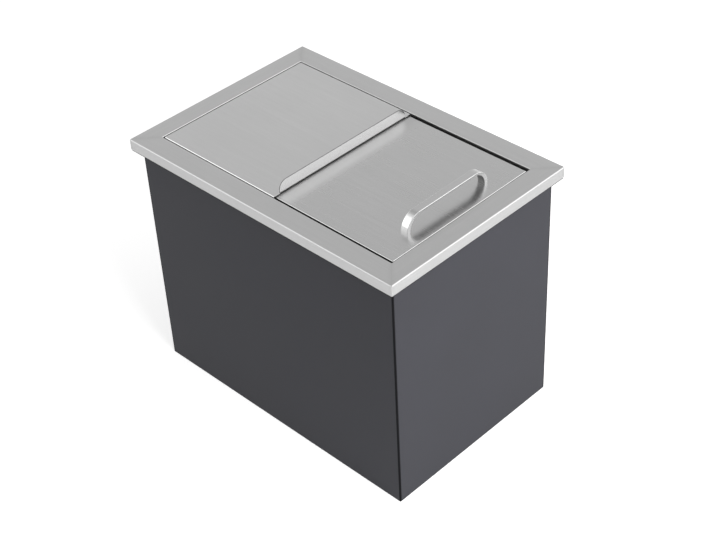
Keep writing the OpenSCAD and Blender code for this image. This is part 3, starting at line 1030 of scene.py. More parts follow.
def coated(name, colour, roughness, specular, peel, bump, shaded_folds=False):
    """Paint, rubber or plastic with a skin of orange peel, clouding and specks, and with painted shade
    along the folds.
    """
    material, desk, shader = new_finish(name, colour, roughness, specular=specular)
    skin = use_group(desk, "Coat skin", build_coat_skin, Peel_per_metre=peel)
    tone = desk.blend(skin["Tone"], shaded(colour, 0.93), shaded(colour, 1.07))
    tone = desk.blend(desk.math("MULTIPLY", skin["Speck"], 0.35), tone, shaded(colour, 1.6))
    rough = desk.plus(roughness - 0.03, skin["Tone"], 0.06)
    if shaded_folds:
        fold_shade = use_group(desk, "Fold lines", build_painted_fold_shade)["Fold"]
        # Painted shade: the paint along the folds is darkened to a sixth of its colour
        tone = desk.blend(fold_shade, tone, shaded(colour, 0.15))
        rough = desk.plus(rough, fold_shade, 0.4)
    desk.feed(shader.inputs["Base Color"], tone)
    desk.feed(shader.inputs["Roughness"], rough)
    add_bump(desk, shader, skin["Height"], bump, 0.1 * MM)
    return material


def foamed(name, colour, cells):
    """Foam with cells and slight discolouring."""
    material, desk, shader = new_finish(name, colour, 0.85, specular=0.2)
    form = use_group(desk, "Foam cells", build_foam_cells, Cells_per_metre=cells)
    tone = desk.blend(form["Tone"], shaded(colour, 0.85), shaded(colour, 1.1))
    desk.feed(shader.inputs["Base Color"], tone)
    desk.feed(shader.inputs["Roughness"], desk.ramp(form["Height"], 0.0, 1.0, 0.8, 0.95))
    add_bump(desk, shader, form["Height"], 0.6, 0.3 * MM)
    return material


def rim_steel(name, looks):
    """Satin sheet with ground mitres and painted highlights on its bends."""
    return brushed_steel(name, looks.rim_steel, looks.satin_roughness, rim_painted_highlight, mitred=True)


def fixed_lid_steel(name, looks):
    """Satin sheet with painted highlights on its folds and its lip, whose cut edge is darker."""
    return brushed_steel(name, looks.fixed_steel, looks.satin_roughness, fixed_lid_highlight_and_dark_edge)


def sliding_lid_steel(name, looks):
    """Smoother satin sheet with a calmer grain, worn where it slides, with painted highlights on its folds
    and painted shade at their feet.
    """
    rough = looks.satin_roughness - 0.05
    return brushed_steel(name, looks.sliding_steel, rough, sliding_lid_rub_and_painted_light, grain=0.75)


def tub_steel(name, looks):
    """Duller sheet, as inside a tub that is scoured."""
    return brushed_steel(name, looks.fixed_steel, looks.satin_roughness + 0.06)


def handle_steel(name, looks):
    """Fine polish along the bar, with painted highlights and painted shade on it."""
    gloss = looks.bright_roughness
    return brushed_steel(name, looks.handle_steel, gloss, handle_painted_light, along_y=1.0, grain=0.5)


def fitting_steel(name, looks):
    """Fine polish of the drain's and the handle's small fittings."""
    return brushed_steel(name, looks.fitting_steel, looks.bright_roughness, grain=0.6)


def case_paint(name, looks):
    """Baked paint with orange peel, with painted shade and more roughness along the folds."""
    rough = looks.paint_roughness
    return coated(name, looks.paint, rough, specular=0.15, peel=420.0, bump=0.12, shaded_folds=True)


def rubber(name, looks):
    """Dull moulded rubber."""
    return coated(name, looks.rubber, 0.62, specular=0.4, peel=900.0, bump=0.25)


def nylon(name, looks):
    """Smooth moulded nylon."""
    return coated(name, looks.nylon, 0.42, specular=0.45, peel=1400.0, bump=0.2)


def sealing_tape(name, looks):
    """Closed-cell foam tape."""
    return foamed(name, looks.tape, cells=2600.0)


def insulating_foam(name, looks):
    """Poured foam with coarse cells."""
    return foamed(name, looks.foam, cells=1100.0)


FINISHES = {
    "Rim steel": rim_steel,
    "Fixed lid steel": fixed_lid_steel,
    "Sliding lid steel": sliding_lid_steel,
    "Tub steel": tub_steel,
    "Handle steel": handle_steel,
    "Fitting steel": fitting_steel,
    "Case paint": case_paint,
    "Rubber": rubber,
    "Nylon": nylon,
    "Sealing tape": sealing_tape,
    "Insulating foam": insulating_foam,
}


def finish(name):
    """The finished material of that name, made the first time it is asked for."""
    if name in bpy.data.materials:
        return bpy.data.materials[name]
    return FINISHES[name](name, settings("finishes"))


# Rim, case and base


def build_rim():
    """Rim bent down into a lip and back under, with a soft edge at the mouth, as one closed section."""
    sizes = settings("sheets")
    bend, gauge, soft = sizes.rim_bend, sizes.rim_sheet, sizes.mouth_round
    mouth_x, mouth_y = mouth_half()
    top, foot = RIM_HIGH.z, RIM_LOW.z
    foot_bend, border = 0.8 * bend, 2 * bend
    outer = bent_path([
        (sizes.rim_return, foot, 0),
        (0, foot, foot_bend),
        (0, top, bend),
        (border, top, 0),
    ])
    inner = bent_path([
        (border, top - gauge, 0),
        (gauge, top - gauge, bend - gauge),
        (gauge, foot + gauge, foot_bend - gauge),
        (sizes.rim_return, foot + gauge, 0),
    ])
    loops = rings_along(RIM_HIGH.x, RIM_HIGH.y, bend, outer)
    for turn in quarter_turn():
        clear = soft * (1 - math.sin(turn))
        loops.append(ring(mouth_x + clear, mouth_y + clear, 0, top - soft * (1 - math.cos(turn))))
    loops.append(ring(mouth_x, mouth_y, 0, top - gauge))
    loops += rings_along(RIM_HIGH.x, RIM_HIGH.y, bend, inner)
    shell = Shell()
    shell.loft(loops, closed=True)
    rim = shell.make("rim_shell")
    round_edges(rim, sizes.cut_round)
    place(rim, "bin", finish("Rim steel"), "rim_frame")


def build_tape():
    """Closed-cell tape under the lip's return, with bulging sides."""
    low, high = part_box("rim_sealing_tape")
    width = settings("sheets").rim_return - (RIM_HIGH.x - high.x)
    middle = (low.z + high.z) / 2
    pinch = 0.35 * MM
    corner = 2 * MM
    section = [
        (pinch, high.z),
        (0, middle),
        (pinch, low.z),
        (width - pinch, low.z),
        (width, middle),
        (width - pinch, high.z),
    ]
    shell = Shell()
    shell.loft(rings_along(high.x, high.y, corner, section), closed=True)
    tape = shell.make("sealing_tape")
    place(tape, "bin", finish("Sealing tape"), "rim_sealing_tape")


def rivet_centres():
    """Places of the rivets round the skirt's return, read from the CAD piece's own vertices."""
    one_rivet = 10 * MM
    centres = []
    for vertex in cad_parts["base_rivets"].data.vertices:
        spot = Vector((vertex.co.x, vertex.co.y))
        near = [c for c in centres if (c[0] / c[1] - spot).length < one_rivet]
        if near:
            near[0][0] += spot
            near[0][1] += 1
        else:
            centres.append([spot, 1])
    return [total / count for total, count in centres]


def build_case():
    """Painted wrap: walls, a rounded foot and the return with countersunk rivet holes."""
    sizes = settings("sheets")
    gauge = sizes.case_sheet
    path = bent_path([
        (sizes.skirt_return + gauge, CASE_LOW.z, 0),
        (0, CASE_LOW.z, sizes.case_bend),
        (0, CASE_HIGH.z, 0),
    ])
    shell = Shell()
    shell.loft(rings_along(CASE_HIGH.x, CASE_HIGH.y, sizes.case_bend, path))
    case = shell.make("case_shell", ((CASE_HIGH.x, 0, CASE_HIGH.z / 2), (1, 0, 0)))
    thicken(case, gauge)
    holes = Shell()
    head, shank = 3.3 * MM, 1.65 * MM
    below, cone_top, above = -gauge, 1.05 * gauge, 2 * gauge
    section = [(0, below), (head + gauge, below), (shank, cone_top), (shank, above), (0, above)]
    for spot in rivet_centres():
        holes.loft(turned_loops(section, spot, RIVET_STEPS))
    cut_away(case, holes.make("rivet_holes"))
    round_edges(case, 0.5 * sizes.cut_round)
    place(case, "bin", finish("Case paint"), "case_wrap")


def build_base():
    """Base panel with its flange down inside the skirt, a return, and holes for spout and port."""
    sizes = settings("sheets")
    gauge = sizes.case_sheet
    bend, border = 1.5 * gauge, 4 * gauge
    path = bent_path([
        (sizes.skirt_return, BASE_LOW.z, 0),
        (0, BASE_LOW.z, bend),
        (0, BASE_HIGH.z, bend),
        (border, BASE_HIGH.z, 0),
    ])
    shell = Shell()
    shell.loft(rings_along(BASE_HIGH.x, BASE_HIGH.y, bend, path))
    shell.grid(plate_rows(BASE_HIGH.x - border, BASE_HIGH.y - border, BASE_HIGH.z))
    base = shell.make("base_pan", ((0, 0, BASE_HIGH.z), (0, 0, 1)))
    thicken(base, gauge)
    holes = Shell()
    spout_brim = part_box("base_grommet")[1].x
    (port_brim, _), port = plan_of(PORT_LOW, PORT_HIGH)
    for centre, brim in (((0, 0), spout_brim), (port, port_brim)):
        section = pin_section(brim - HOLE_BRIM, BASE_HIGH.z - 5 * gauge, BASE_HIGH.z + gauge)
        holes.loft(turned_loops(section, centre))
    cut_away(base, holes.make("base_holes"))
    round_edges(base, 0.5 * sizes.cut_round)
    place(base, "bin", finish("Case paint"), "case_base")


def build_rivets():
    """Blind rivets with countersunk heads, a hollow where the stem broke off, and set ends."""
    shell = Shell()
    gauge = settings("sheets").case_sheet
    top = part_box("base_rivets")[1].z
    stem, crown, head, shank, bulb = 0.9 * MM, 1.8 * MM, 3.15 * MM, 1.6 * MM, 2.6 * MM
    stem_end, hollow, crown_foot, head_edge = 0.9 * gauge, 0.25 * gauge, 0.02 * MM, 0.06 * MM
    bulb_edge = 0.5 * MM
    section = bent_path([
        (0, stem_end, 0),
        (stem, stem_end, 0),
        (stem, hollow, 0.1 * MM),
        (crown, crown_foot, 0.3 * MM),
        (head, head_edge, head_edge),
        (shank, gauge, 0),
        (shank, 2 * gauge, 0),
        (bulb, 2 * gauge + 0.6 * MM, bulb_edge),
        (bulb - bulb_edge, top, bulb_edge),
        (0, top, 0),
    ])
    for spot in rivet_centres():
        shell.loft(turned_loops(section, spot, RIVET_STEPS))
    rivets = shell.make("case_rivets")
    place(rivets, "bin", finish("Case paint"), "base_rivets")


def build_port_plug():
    """Push-in cap with a soft edge and a shallow dish in its face."""
    (cap, _), centre = plan_of(PORT_LOW, PORT_HIGH)
    panel = BASE_HIGH.z - settings("sheets").case_sheet
    stem = cap - HOLE_BRIM
    dish = PORT_LOW.z + 0.5 * MM
    section = bent_path([
        (0, dish, 0),
        (0.62 * cap, dish, 0.4 * MM),
        (0.70 * cap, PORT_LOW.z, 0.4 * MM),
        (cap, PORT_LOW.z, 0.7 * MM),
        (cap, panel, 0),
        (stem, panel, 0),
        (stem, PORT_HIGH.z, 0.8 * MM),
        (0, PORT_HIGH.z, 0),
    ])
    plug = turned("port_cap", section, centre)
    place(plug, "bin", finish("Rubber"), "foam_port_plug")


# Seat, tub and foam


def floor_level(x):
    """Top of the tub's floor at x: level over the sump, then rising softly to both ends."""
    sizes = settings("sheets")
    sump = sizes.sump_length / 2
    fall = FLOOR_HIGH.z - FLOOR_LOW.z - sizes.tub_sheet
    slope = fall / (FLOOR_HIGH.x - sump)
    ease = 12 * MM  # half-length of the soft bend between level and slope
    past = abs(x) - sump
    level_part = math.sqrt(sump * sump + ease * ease) - sump
    lift = 0.5 * (past + math.sqrt(past * past + ease * ease) - level_part)
    return FLOOR_LOW.z + sizes.tub_sheet + max(slope * lift, 0)


def build_seat():
    """Riser and ledge below the mouth, bent over into the tub, just inside the CAD solid."""
    sizes = settings("sheets")
    gauge = sizes.tub_sheet
    ledge, border = SEAT_LOW.z + gauge, 4 * MM
    mouth_x, mouth_y = mouth_half()
    mouth_corner = 1.6 * MM
    path = bent_path([(0, SEAT_HIGH.z, 0), (0, ledge, 1.2 * MM), (border, ledge, 0)])
    loops = rings_along(mouth_x, mouth_y, mouth_corner, path)
    lip = 0.7 * MM
    corner = sizes.tub_corner
    for turn in quarter_turn():
        over = lip * (1 - math.sin(turn))
        drop = lip * (1 - math.cos(turn))
        loops.append(ring(FLOOR_HIGH.x + over, FLOOR_HIGH.y + over, corner + over, ledge - drop))
    shell = Shell()
    shell.loft(loops)
    seat = shell.make("seat_shell", ((0, mouth_y - border, ledge), (0, 0, 1)))
    thicken(seat, 0.98 * gauge)
    place(seat, "bin", finish("Tub steel"), "lid_seat_frame")


def build_tub_walls():
    """Walls coved into the sloped floor."""
    sizes = settings("sheets")
    cove, corner = sizes.tub_cove, sizes.tub_corner
    half_x, half_y = FLOOR_HIGH.x, FLOOR_HIGH.y
    loops = [ring(half_x, half_y, corner, WALL_HIGH.z, stops=TUB_STOPS)]
    for turn in quarter_turn():
        inset = cove * (1 - math.cos(turn))
        rise = cove * (1 - math.sin(turn))
        loops.append(ring(
            half_x - inset, half_y - inset, corner - inset,
            lambda x, rise=rise: floor_level(x) + rise, stops=TUB_STOPS,
        ))
    shell = Shell()
    shell.loft(loops)
    walls = shell.make("tub_wall_shell", ((half_x, 0, WALL_HIGH.z / 2), (-1, 0, 0)))
    thicken(walls, sizes.tub_sheet)
    place(walls, "bin", finish("Tub steel"), "tub_walls")


def build_tub_floor():
    """Floor that falls to the drain's hole, as loops that shrink from the coves to the hole."""
    sizes = settings("sheets")
    cove, corner = sizes.tub_cove, sizes.tub_corner
    outer = ring(FLOOR_HIGH.x - cove, FLOOR_HIGH.y - cove, corner - cove, 0, stops=TUB_STOPS)
    rounds = 16
    loops = []
    for step in range(rounds + 1):
        share = step / rounds
        loop = []
        for point in outer:
            edge = Vector((point.x, point.y)).normalized() * SHANK_R
            x = point.x + (edge.x - point.x) * share
            y = point.y + (edge.y - point.y) * share
            loop.append(Vector((x, y, floor_level(x))))
        loops.append(loop)
    beside_drain = 60 * MM
    shell = Shell()
    shell.loft(loops)
    floor = shell.make("tub_floor_pan", ((beside_drain, 0, FLOOR_LOW.z), (0, 0, 1)))
    thicken(floor, sizes.tub_sheet)
    place(floor, "bin", finish("Tub steel"), "tub_floor")


def build_foam():
    """Poured foam that fills the space between the case and the tub, a little clear of both."""
    sizes = settings("sheets")
    gauge, clear = sizes.tub_sheet, 0.3 * MM
    low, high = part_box("foam_insulation")
    well, round_off = 28.4 * MM, 2 * MM
    tub = (WALL_HIGH.x + clear, WALL_HIGH.y + clear, sizes.tub_corner + gauge + clear)
    seat = (SEAT_HIGH.x + clear, SEAT_HIGH.y + clear, round_off)
    case = (high.x - clear, high.y - clear, round_off)
    foot, ledge, top = low.z + clear, SEAT_LOW.z - clear, high.z - clear

    def under_floor(x):
        return floor_level(x) - gauge - clear

    tub_ring = ring(*tub, under_floor, stops=TUB_STOPS)

    def well_ring(level):
        return [Vector((p.x, p.y, 0)).normalized() * well + Vector((0, 0, level)) for p in tub_ring]

    loops = [well_ring(foot), well_ring(under_floor(0)), tub_ring]
    for outline, level in ((tub, ledge), (seat, ledge), (seat, top), (case, top), (case, foot)):
        loops.append(ring(*outline, level, stops=TUB_STOPS))
    shell = Shell()
    shell.loft(loops, closed=True)
    foam = shell.make("poured_foam")
    place(foam, "bin", finish("Insulating foam"), "foam_insulation")


def soft_bar(name, node):
    """Rounded nylon bar in the place of a plain CAD one."""
    low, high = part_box(node)
    (half_x, half_y), centre = plan_of(low, high)
    edge, corner = 0.6 * MM, 1.2 * MM
    inset = 0.5 * min(half_x, half_y)
    path = bent_path([(inset, low.z, 0), (0, low.z, 0.5 * edge), (0, high.z, edge), (inset, high.z, 0)])
    loops = rings_along(half_x, half_y, corner, path, centre=centre)
    shell = Shell()
    shell.loft(loops)
    shell.cap(loops[0])
    shell.cap(loops[-1])
    bar = shell.make(name)
    place(bar, "bin", finish("Nylon"), node)


def build_bars():
    """Rails that the sliding lid runs on and rests below both lids' outer ends."""
    soft_bar("rail_front", "slide_rail_front")
    soft_bar("rail_rear", "slide_rail_rear")
    soft_bar("rest_left", "end_rest_left")
    soft_bar("rest_right", "end_rest_right")


def build_buffers():
    """The two round buffers that the sliding lid closes on, with their axes along X."""
    low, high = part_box("stop_buffers")
    radius = (high.z - low.z) / 2
    axis_z = (low.z + high.z) / 2
    section = bent_path([(0, high.x, 0), (radius, high.x, 0), (radius, low.x, 0.9 * MM), (0, low.x, 0)])
    loops = turned_loops(section)
    shell = Shell()
    for axis_y in (low.y + radius, high.y - radius):
        shell.loft([[Vector((p.z, axis_y + p.x, axis_z + p.y)) for p in loop] for loop in loops])
    buffers = shell.make("closing_buffers")
    place(buffers, "bin", finish("Rubber"), "stop_buffers")


# Lids and handle


def lip_stops(half_plate, lip_half, corner, relief):
    """Stops across the upper lid: even along the lip, close at its round ends, then the slot."""
    straight = lip_half - corner
    side = [straight * k / LIP_STEPS for k in range(1, LIP_STEPS + 1)]
    side += [straight + corner * math.sin(turn) for turn in quarter_turn(LIP_CORNER_STEPS)[1:]]
    side += [lip_half + relief, half_plate]
    return [-y / half_plate for y in reversed(side)] + [0] + [y / half_plate for y in side]


def lip_rows(ys, start, foot):
    """A row of points at each y, from the plate's end round the bend and up to the lip's crest."""
    lids = settings("lids")
    bend, corner = lids.lip_bend, lids.lip_corner
    straight = UPPER_HIGH.y - lids.lip_inset - corner
    rows = []
    for y in ys:
        past = max(abs(y) - straight, 0)
        crest = UPPER_HIGH.z - corner + math.sqrt(max(corner * corner - past * past, 0))
        row = []
        for turn in quarter_turn():
            row.append(Vector((start + bend * math.sin(turn), y, foot + bend * (1 - math.cos(turn)))))
        face, rise = start + bend, foot + bend
        for k in range(1, LIP_RISE_STEPS + 1):
            row.append(Vector((face, y, rise + (crest - rise) * k / LIP_RISE_STEPS)))
        rows.append(row)
    return rows


def build_upper_lid():
    """Lid flanged on three sides, with its fourth edge turned up between two relief slots."""
    sizes, lids = settings("sheets"), settings("lids")
    gauge, bend = sizes.lid_sheet, sizes.lid_bend
    top = RIM_HIGH.z
    right, half_y = UPPER_HIGH.x, UPPER_HIGH.y
    plate_half = half_y - PLATE_BORDER
    plate_end = right - gauge - lids.lip_bend
    y_stops = lip_stops(plate_half, half_y - lids.lip_inset, lids.lip_corner, lids.relief)

    def row_of_x(left):
        steps = range(PLATE_STEPS + 1)
        return [left + (plate_end - left) * k / PLATE_STEPS for k in steps] + [right]

    def side_loop(inset, level):
        corner = max(bend - inset, 0)
        left, side = UPPER_LOW.x + inset, half_y - inset
        flat = [(x, -side) for x in reversed(row_of_x(left + corner))]
        flat += reversed(corner_arc(left + corner, -side + corner, corner, 180))
        flat += [(left, s * (side - corner)) for s in y_stops]
        flat += reversed(corner_arc(left + corner, side - corner, corner, 90))
        flat += [(x, side) for x in row_of_x(left + corner)]
        return raised(flat, level)

    path = bent_path([(0, UPPER_LOW.z, 0), (0, top, bend), (PLATE_BORDER, top, 0)])
    shell = Shell()
    shell.loft([side_loop(u, v) for u, v in path], round_about=False)
    ys = [s * plate_half for s in y_stops]
    xs = row_of_x(UPPER_LOW.x + PLATE_BORDER)
    shell.grid([[Vector((x, y, top)) for x in xs[:-1]] for y in ys])
    for ear in (ys[:2], ys[-2:]):
        shell.grid([[Vector((x, y, top)) for x in xs[-2:]] for y in ear])
    shell.grid(lip_rows(ys[2:-2], plate_end, top))
    lid = shell.make("upper_lid_sheet", ((UPPER_LOW.x / 2, 0, top), (0, 0, 1)))
    thicken(lid, gauge)
    round_edges(lid, sizes.cut_round)
    place(lid, "fixed_lid", finish("Fixed lid steel"), "upper_lid")


def build_lower_lid():
    """Sliding lid: a shallow tray upside down with folded edges."""
    sizes = settings("sheets")
    bend = sizes.lid_bend
    (half_x, half_y), centre = plan_of(LOWER_LOW, LOWER_HIGH)
    border = PLATE_BORDER
    path = bent_path([(0, LOWER_LOW.z, 0), (0, LOWER_HIGH.z, bend), (border, LOWER_HIGH.z, 0)])
    shell = Shell()
    shell.loft(rings_along(half_x, half_y, bend, path, centre=centre))
    shell.grid(plate_rows(half_x - border, half_y - border, LOWER_HIGH.z, centre))
    lid = shell.make("lower_lid_sheet", ((*centre, LOWER_HIGH.z), (0, 0, 1)))
    thicken(lid, sizes.lid_sheet)
    round_edges(lid, sizes.cut_round)
    place(lid, "sliding_lid", finish("Sliding lid steel"), "lower_lid")


def build_handle():
    """Bar handle: a flat bar with rounded edges that thickens into two arched feet."""
    lids = settings("lids")
    height = GRIP_HIGH.z - GRIP_LOW.z
    outer_r = height - lids.arch_start
    inner_r = height - lids.bar_thickness
    (half_w, half_y), (mid_x, mid_y) = plan_of(GRIP_LOW, GRIP_HIGH)
    outer_y = half_y - outer_r
    inner_y = half_y - lids.foot_thickness - inner_r
    side = [((half_y, 0), (half_y - lids.foot_thickness, 0))]
    for turn in quarter_turn(ARCH_STEPS):
        outer = (outer_y + outer_r * math.cos(turn), lids.arch_start + outer_r * math.sin(turn))
        inner = (inner_y + inner_r * math.cos(turn), inner_r * math.sin(turn))
        side.append((outer, inner))
    side.append(((inner_y, height), (inner_y, inner_r)))
    stations = side + [((-o[0], o[1]), (-i[0], i[1])) for o, i in reversed(side)]
    loops = []
    for outer, inner in stations:
        across = Vector(outer) - Vector(inner)
        depth = across.length
        across.normalize()
        edge = min(lids.grip_edge, 0.42 * depth)  # less than half, so that two edges never meet
        corners = [(-half_w, 0), (half_w, 0), (half_w, depth), (-half_w, depth)]
        outline = bent_path([(u, v, edge) for u, v in corners])
        loops.append([
            Vector((mid_x + u, mid_y + inner[0] + across.x * v, GRIP_LOW.z + inner[1] + across.y * v))
            for u, v in outline
        ])
    shell = Shell()
    shell.loft(loops)
    shell.cap(loops[0])
    shell.cap(loops[-1])
    handle = shell.make("bar_handle")
    place(handle, "sliding_lid", finish("Handle steel"), "lid_handle")


def build_handle_fixings():
    """Pan-head screws with six-sided sockets, and their washers."""
    low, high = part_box("handle_screws")
    washer_low, washer_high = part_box("handle_washers")
    (head, _), (middle_x, _) = plan_of(low, high)
    shank, key = 1.5 * MM, 1.5 * MM
    key_depth, key_point = 1.6 * MM, 1.8 * MM
    head_top = washer_low.z
    screw = bent_path([
        (0, low.z, 0),
        (head, low.z, 0.9 * MM),
        (head, head_top, 0),
        (shank, head_top, 0),
        (shank, high.z, 0.4 * MM),
        (0, high.z, 0),
    ])
    socket = [(0, low.z - MM), (key, low.z - MM), (key, low.z + key_depth), (0, low.z + key_point)]
    bore = shank + 0.15 * MM
    washer_r = plan_of(washer_low, washer_high)[0][0]
    washer = bent_path([
        (bore, washer_low.z, 0.1 * MM),
        (washer_r, washer_low.z, 0.25 * MM),
        (washer_r, washer_high.z, 0.1 * MM),
        (bore, washer_high.z, 0.1 * MM),
    ])
    screws, sockets, washers = Shell(), Shell(), Shell()
    for axis in ((middle_x, low.y + head), (middle_x, high.y - head)):
        screws.loft(turned_loops(screw, axis, SCREW_STEPS))
        sockets.loft(turned_loops(socket, axis, KEY_SIDES))
        washers.loft(turned_loops(washer, axis, SCREW_STEPS), closed=True)
    screw_piece = screws.make("grip_screws")
    cut_away(screw_piece, sockets.make("screw_sockets"))
    place(screw_piece, "sliding_lid", finish("Fitting steel"), "handle_screws")
    washer_piece = washers.make("grip_washers")
    place(washer_piece, "sliding_lid", finish("Fitting steel"), "handle_washers")


# Drain


def build_flange():
    """Flange on the tub's floor with its threaded shank, turned, with a seat for the strainer."""
    top, flange_r = FLANGE_HIGH.z, FLANGE_HIGH.x
    floor_top = FLOOR_LOW.z + settings("sheets").tub_sheet
    strainer_low, strainer_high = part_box("drain_strainer")
    bore, mouth_r = 11.5 * MM, 15.4 * MM
    section = bent_path([
        (mouth_r, top, 0.4 * MM),
        (flange_r - 1.5 * MM, top, 1.2 * MM),
        (flange_r, top - 1.2 * MM, 0.5 * MM),
        (flange_r, floor_top, 0.1 * MM),
        (SHANK_R, floor_top, 0),
        (SHANK_R, FLANGE_LOW.z, 0.3 * MM),
        (bore, FLANGE_LOW.z, 0.3 * MM),
        (bore, strainer_low.z, 0.1 * MM),
        (STRAINER_R, strainer_low.z, 0),
        (STRAINER_R, strainer_high.z, 0),
    ])
    flange = turned("drain_mouth", section, closed=True)
    place(flange, "bin", finish("Fitting steel"), "drain_flange")


def build_strainer():
    """Slightly domed disc with a hole in its middle and six round it."""
    low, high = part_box("drain_strainer")
    dome = 0.3 * MM
    section = bent_path([
        (0, low.z, 0),
        (STRAINER_R, low.z, 0.1 * MM),
        (STRAINER_R, high.z - dome, 0.1 * MM),
        (0.75 * STRAINER_R, high.z, 1 * MM),
        (0, high.z, 0),
    ])
    strainer = turned("strainer_disc", section)
    hole_r = 2 * MM
    ring_r = STRAINER_R - hole_r - 2.6 * MM
    turns = [math.radians(60 * k) for k in range(6)]
    spots = [(0, 0)] + [(ring_r * math.cos(turn), ring_r * math.sin(turn)) for turn in turns]
    pin = pin_section(hole_r, low.z - MM, high.z + MM)
    holes = Shell()
    for spot in spots:
        holes.loft(turned_loops(pin, spot, HOLE_STEPS))
    cut_away(strainer, holes.make("strainer_holes"))
    round_edges(strainer, 0.12 * MM)
    place(strainer, "bin", finish("Fitting steel"), "drain_strainer")


def build_spout():
    """Spout with a socket on the shank, a neck through the base and a step for the hose."""
    low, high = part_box("drain_spout")
    bore, hose_r, socket_r = 10 * MM, 12.7 * MM, high.x
    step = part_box("base_grommet")[0].z - 2 * MM
    socket_floor = FLANGE_LOW.z - 3 * MM
    section = bent_path([
        (bore, low.z, 0.5 * MM),
        (hose_r, low.z, 1.0 * MM),
        (hose_r, step, 0.3 * MM),
        (SPOUT_NECK_R, step, 0.5 * MM),
        (SPOUT_NECK_R, socket_floor, 0.5 * MM),
        (socket_r, socket_floor, 1 * MM),
        (socket_r, high.z, 0.6 * MM),
        (SHANK_R, high.z, 0.3 * MM),
        (SHANK_R, FLANGE_LOW.z, 0.1 * MM),
        (bore, FLANGE_LOW.z, 0.5 * MM),
    ])
    spout = turned("outlet_spout", section, closed=True)
    place(spout, "bin", finish("Nylon"), "drain_spout")


def build_grommet():
    """Grommet round the spout, with a groove that holds the base's sheet."""
    low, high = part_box("base_grommet")
    panel_low = BASE_HIGH.z - settings("sheets").case_sheet
    brim = high.x
    hole = brim - HOLE_BRIM
    section = bent_path([
        (SPOUT_NECK_R, low.z, 0.6 * MM),
        (brim, low.z, 0.8 * MM),
        (brim, panel_low, 0.2 * MM),
        (hole, panel_low, 0),
        (hole, BASE_HIGH.z, 0),
        (brim, BASE_HIGH.z, 0.2 * MM),
        (brim, high.z, 0.8 * MM),
        (SPOUT_NECK_R, high.z, 0.4 * MM),
    ])
    grommet = turned("spout_grommet", section, closed=True)
    place(grommet, "bin", finish("Rubber"), "base_grommet")


def dress_gasket_and_locknut():
    """The gasket and the locknut below the tub's floor keep their CAD shapes."""
    dress("drain_gasket", finish("Rubber"), 0.3 * MM)
    dress("drain_locknut", finish("Fitting steel"), 0.5 * MM)


def build_plug():
    """Tapered rubber stopper with a flat cap and a mushroom pull knob."""
    low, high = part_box("drain_plug")
    cap_low = FLANGE_HIGH.z + 0.3 * MM
    cap_top = cap_low + 3 * MM
    cap_r = high.x
    taper_top, taper_low = 15.1 * MM, 13.5 * MM
    neck, knob = 4 * MM, 7 * MM
    hollow = low.z + 1.2 * MM
    section = bent_path([
        (0, hollow, 0),
        (0.7 * taper_low, hollow, 0.5 * MM),
        (0.78 * taper_low, low.z, 0.5 * MM),
        (taper_low, low.z, 0.6 * MM),
        (taper_top, FLANGE_HIGH.z, 0),
        (taper_top, cap_low, 0.1 * MM),
        (cap_r, cap_low, 0.5 * MM),
        (cap_r, cap_top, 1.1 * MM),
        (neck, cap_top, 1.6 * MM),
        (neck, high.z - 8 * MM, 1.2 * MM),
        (knob, high.z - 5 * MM, 1.4 * MM),
        (knob, high.z, 2.2 * MM),
        (0, high.z, 0),
    ])
    plug = turned("rubber_plug", section)
    place(plug, "plug", finish("Rubber"), "drain_plug")


# Stage

LAMP_DISTANCE = 2.4


def aim(stand, target):
    """Matrix of a lamp that stands there and looks at the target."""
    look = (Vector(stand) - Vector(target)).to_track_quat("Z", "Y")
    return Matrix.Translation(stand) @ look.to_matrix().to_4x4()


def add_lamp(name, azimuth, elevation, width, height, power, in_metal=True):
    """Soft lamp that looks at the object, azimuth degrees from +X towards +Y and elevation degrees up.

    It shows in reflections only where in_metal is true.
    """
    lamp = bpy.data.lights.new(name, "AREA")
    lamp.shape = "RECTANGLE"
    lamp.size = width
    lamp.size_y = height
    lamp.energy = power
    turn, lift = math.radians(azimuth), math.radians(elevation)
    middle = Vector((0, 0, RIM_HIGH.z / 2))
    out = Vector((math.cos(turn) * math.cos(lift), math.sin(turn) * math.cos(lift), math.sin(lift)))
    holder = bpy.data.objects.new(name, lamp)
    holder.matrix_world = aim(middle + out * LAMP_DISTANCE, middle)
    holder.visible_glossy = in_metal
    bpy.context.scene.collection.objects.link(holder)


def light_paths(desk):
    """Sockets that are 1 for rays that show things directly, for reflections, and for either."""
    path = desk.add("ShaderNodeLightPath").outputs
    shown = desk.math("MAXIMUM", path["Is Camera Ray"], path["Is Transmission Ray"])
    mirrored = path["Is Glossy Ray"]
    return shown, mirrored, desk.math("MAXIMUM", shown, mirrored)


def build_world():
    """White surroundings, darker overhead in reflections, and an even ambient light."""
    look = settings("stage")
    world = bpy.data.worlds.new("Studio")
    bpy.context.scene.world = world
    world.use_nodes = True
    world.node_tree.nodes.clear()
    desk = Desk(world.node_tree)
    shown, mirrored, seen = light_paths(desk)
    direction = desk.add("ShaderNodeTexCoord").outputs["Generated"]
    up = desk.axes_of(direction)["Z"]
    start, tone = 0.48, 0.93  # how high up the darkening starts, and the tone below it
    overhead = desk.ramp(up, start, 1.0, tone, look.overhead)
    white = desk.math("MAXIMUM", shown, desk.math("MULTIPLY", mirrored, overhead))
    ambient = desk.math("MULTIPLY", desk.math("SUBTRACT", 1.0, seen), look.ambient)
    strength = desk.math("ADD", white, ambient)
    background = desk.add("ShaderNodeBackground", {"Color": (1, 1, 1, 1), "Strength": strength})
    desk.show(background, "ShaderNodeOutputWorld")


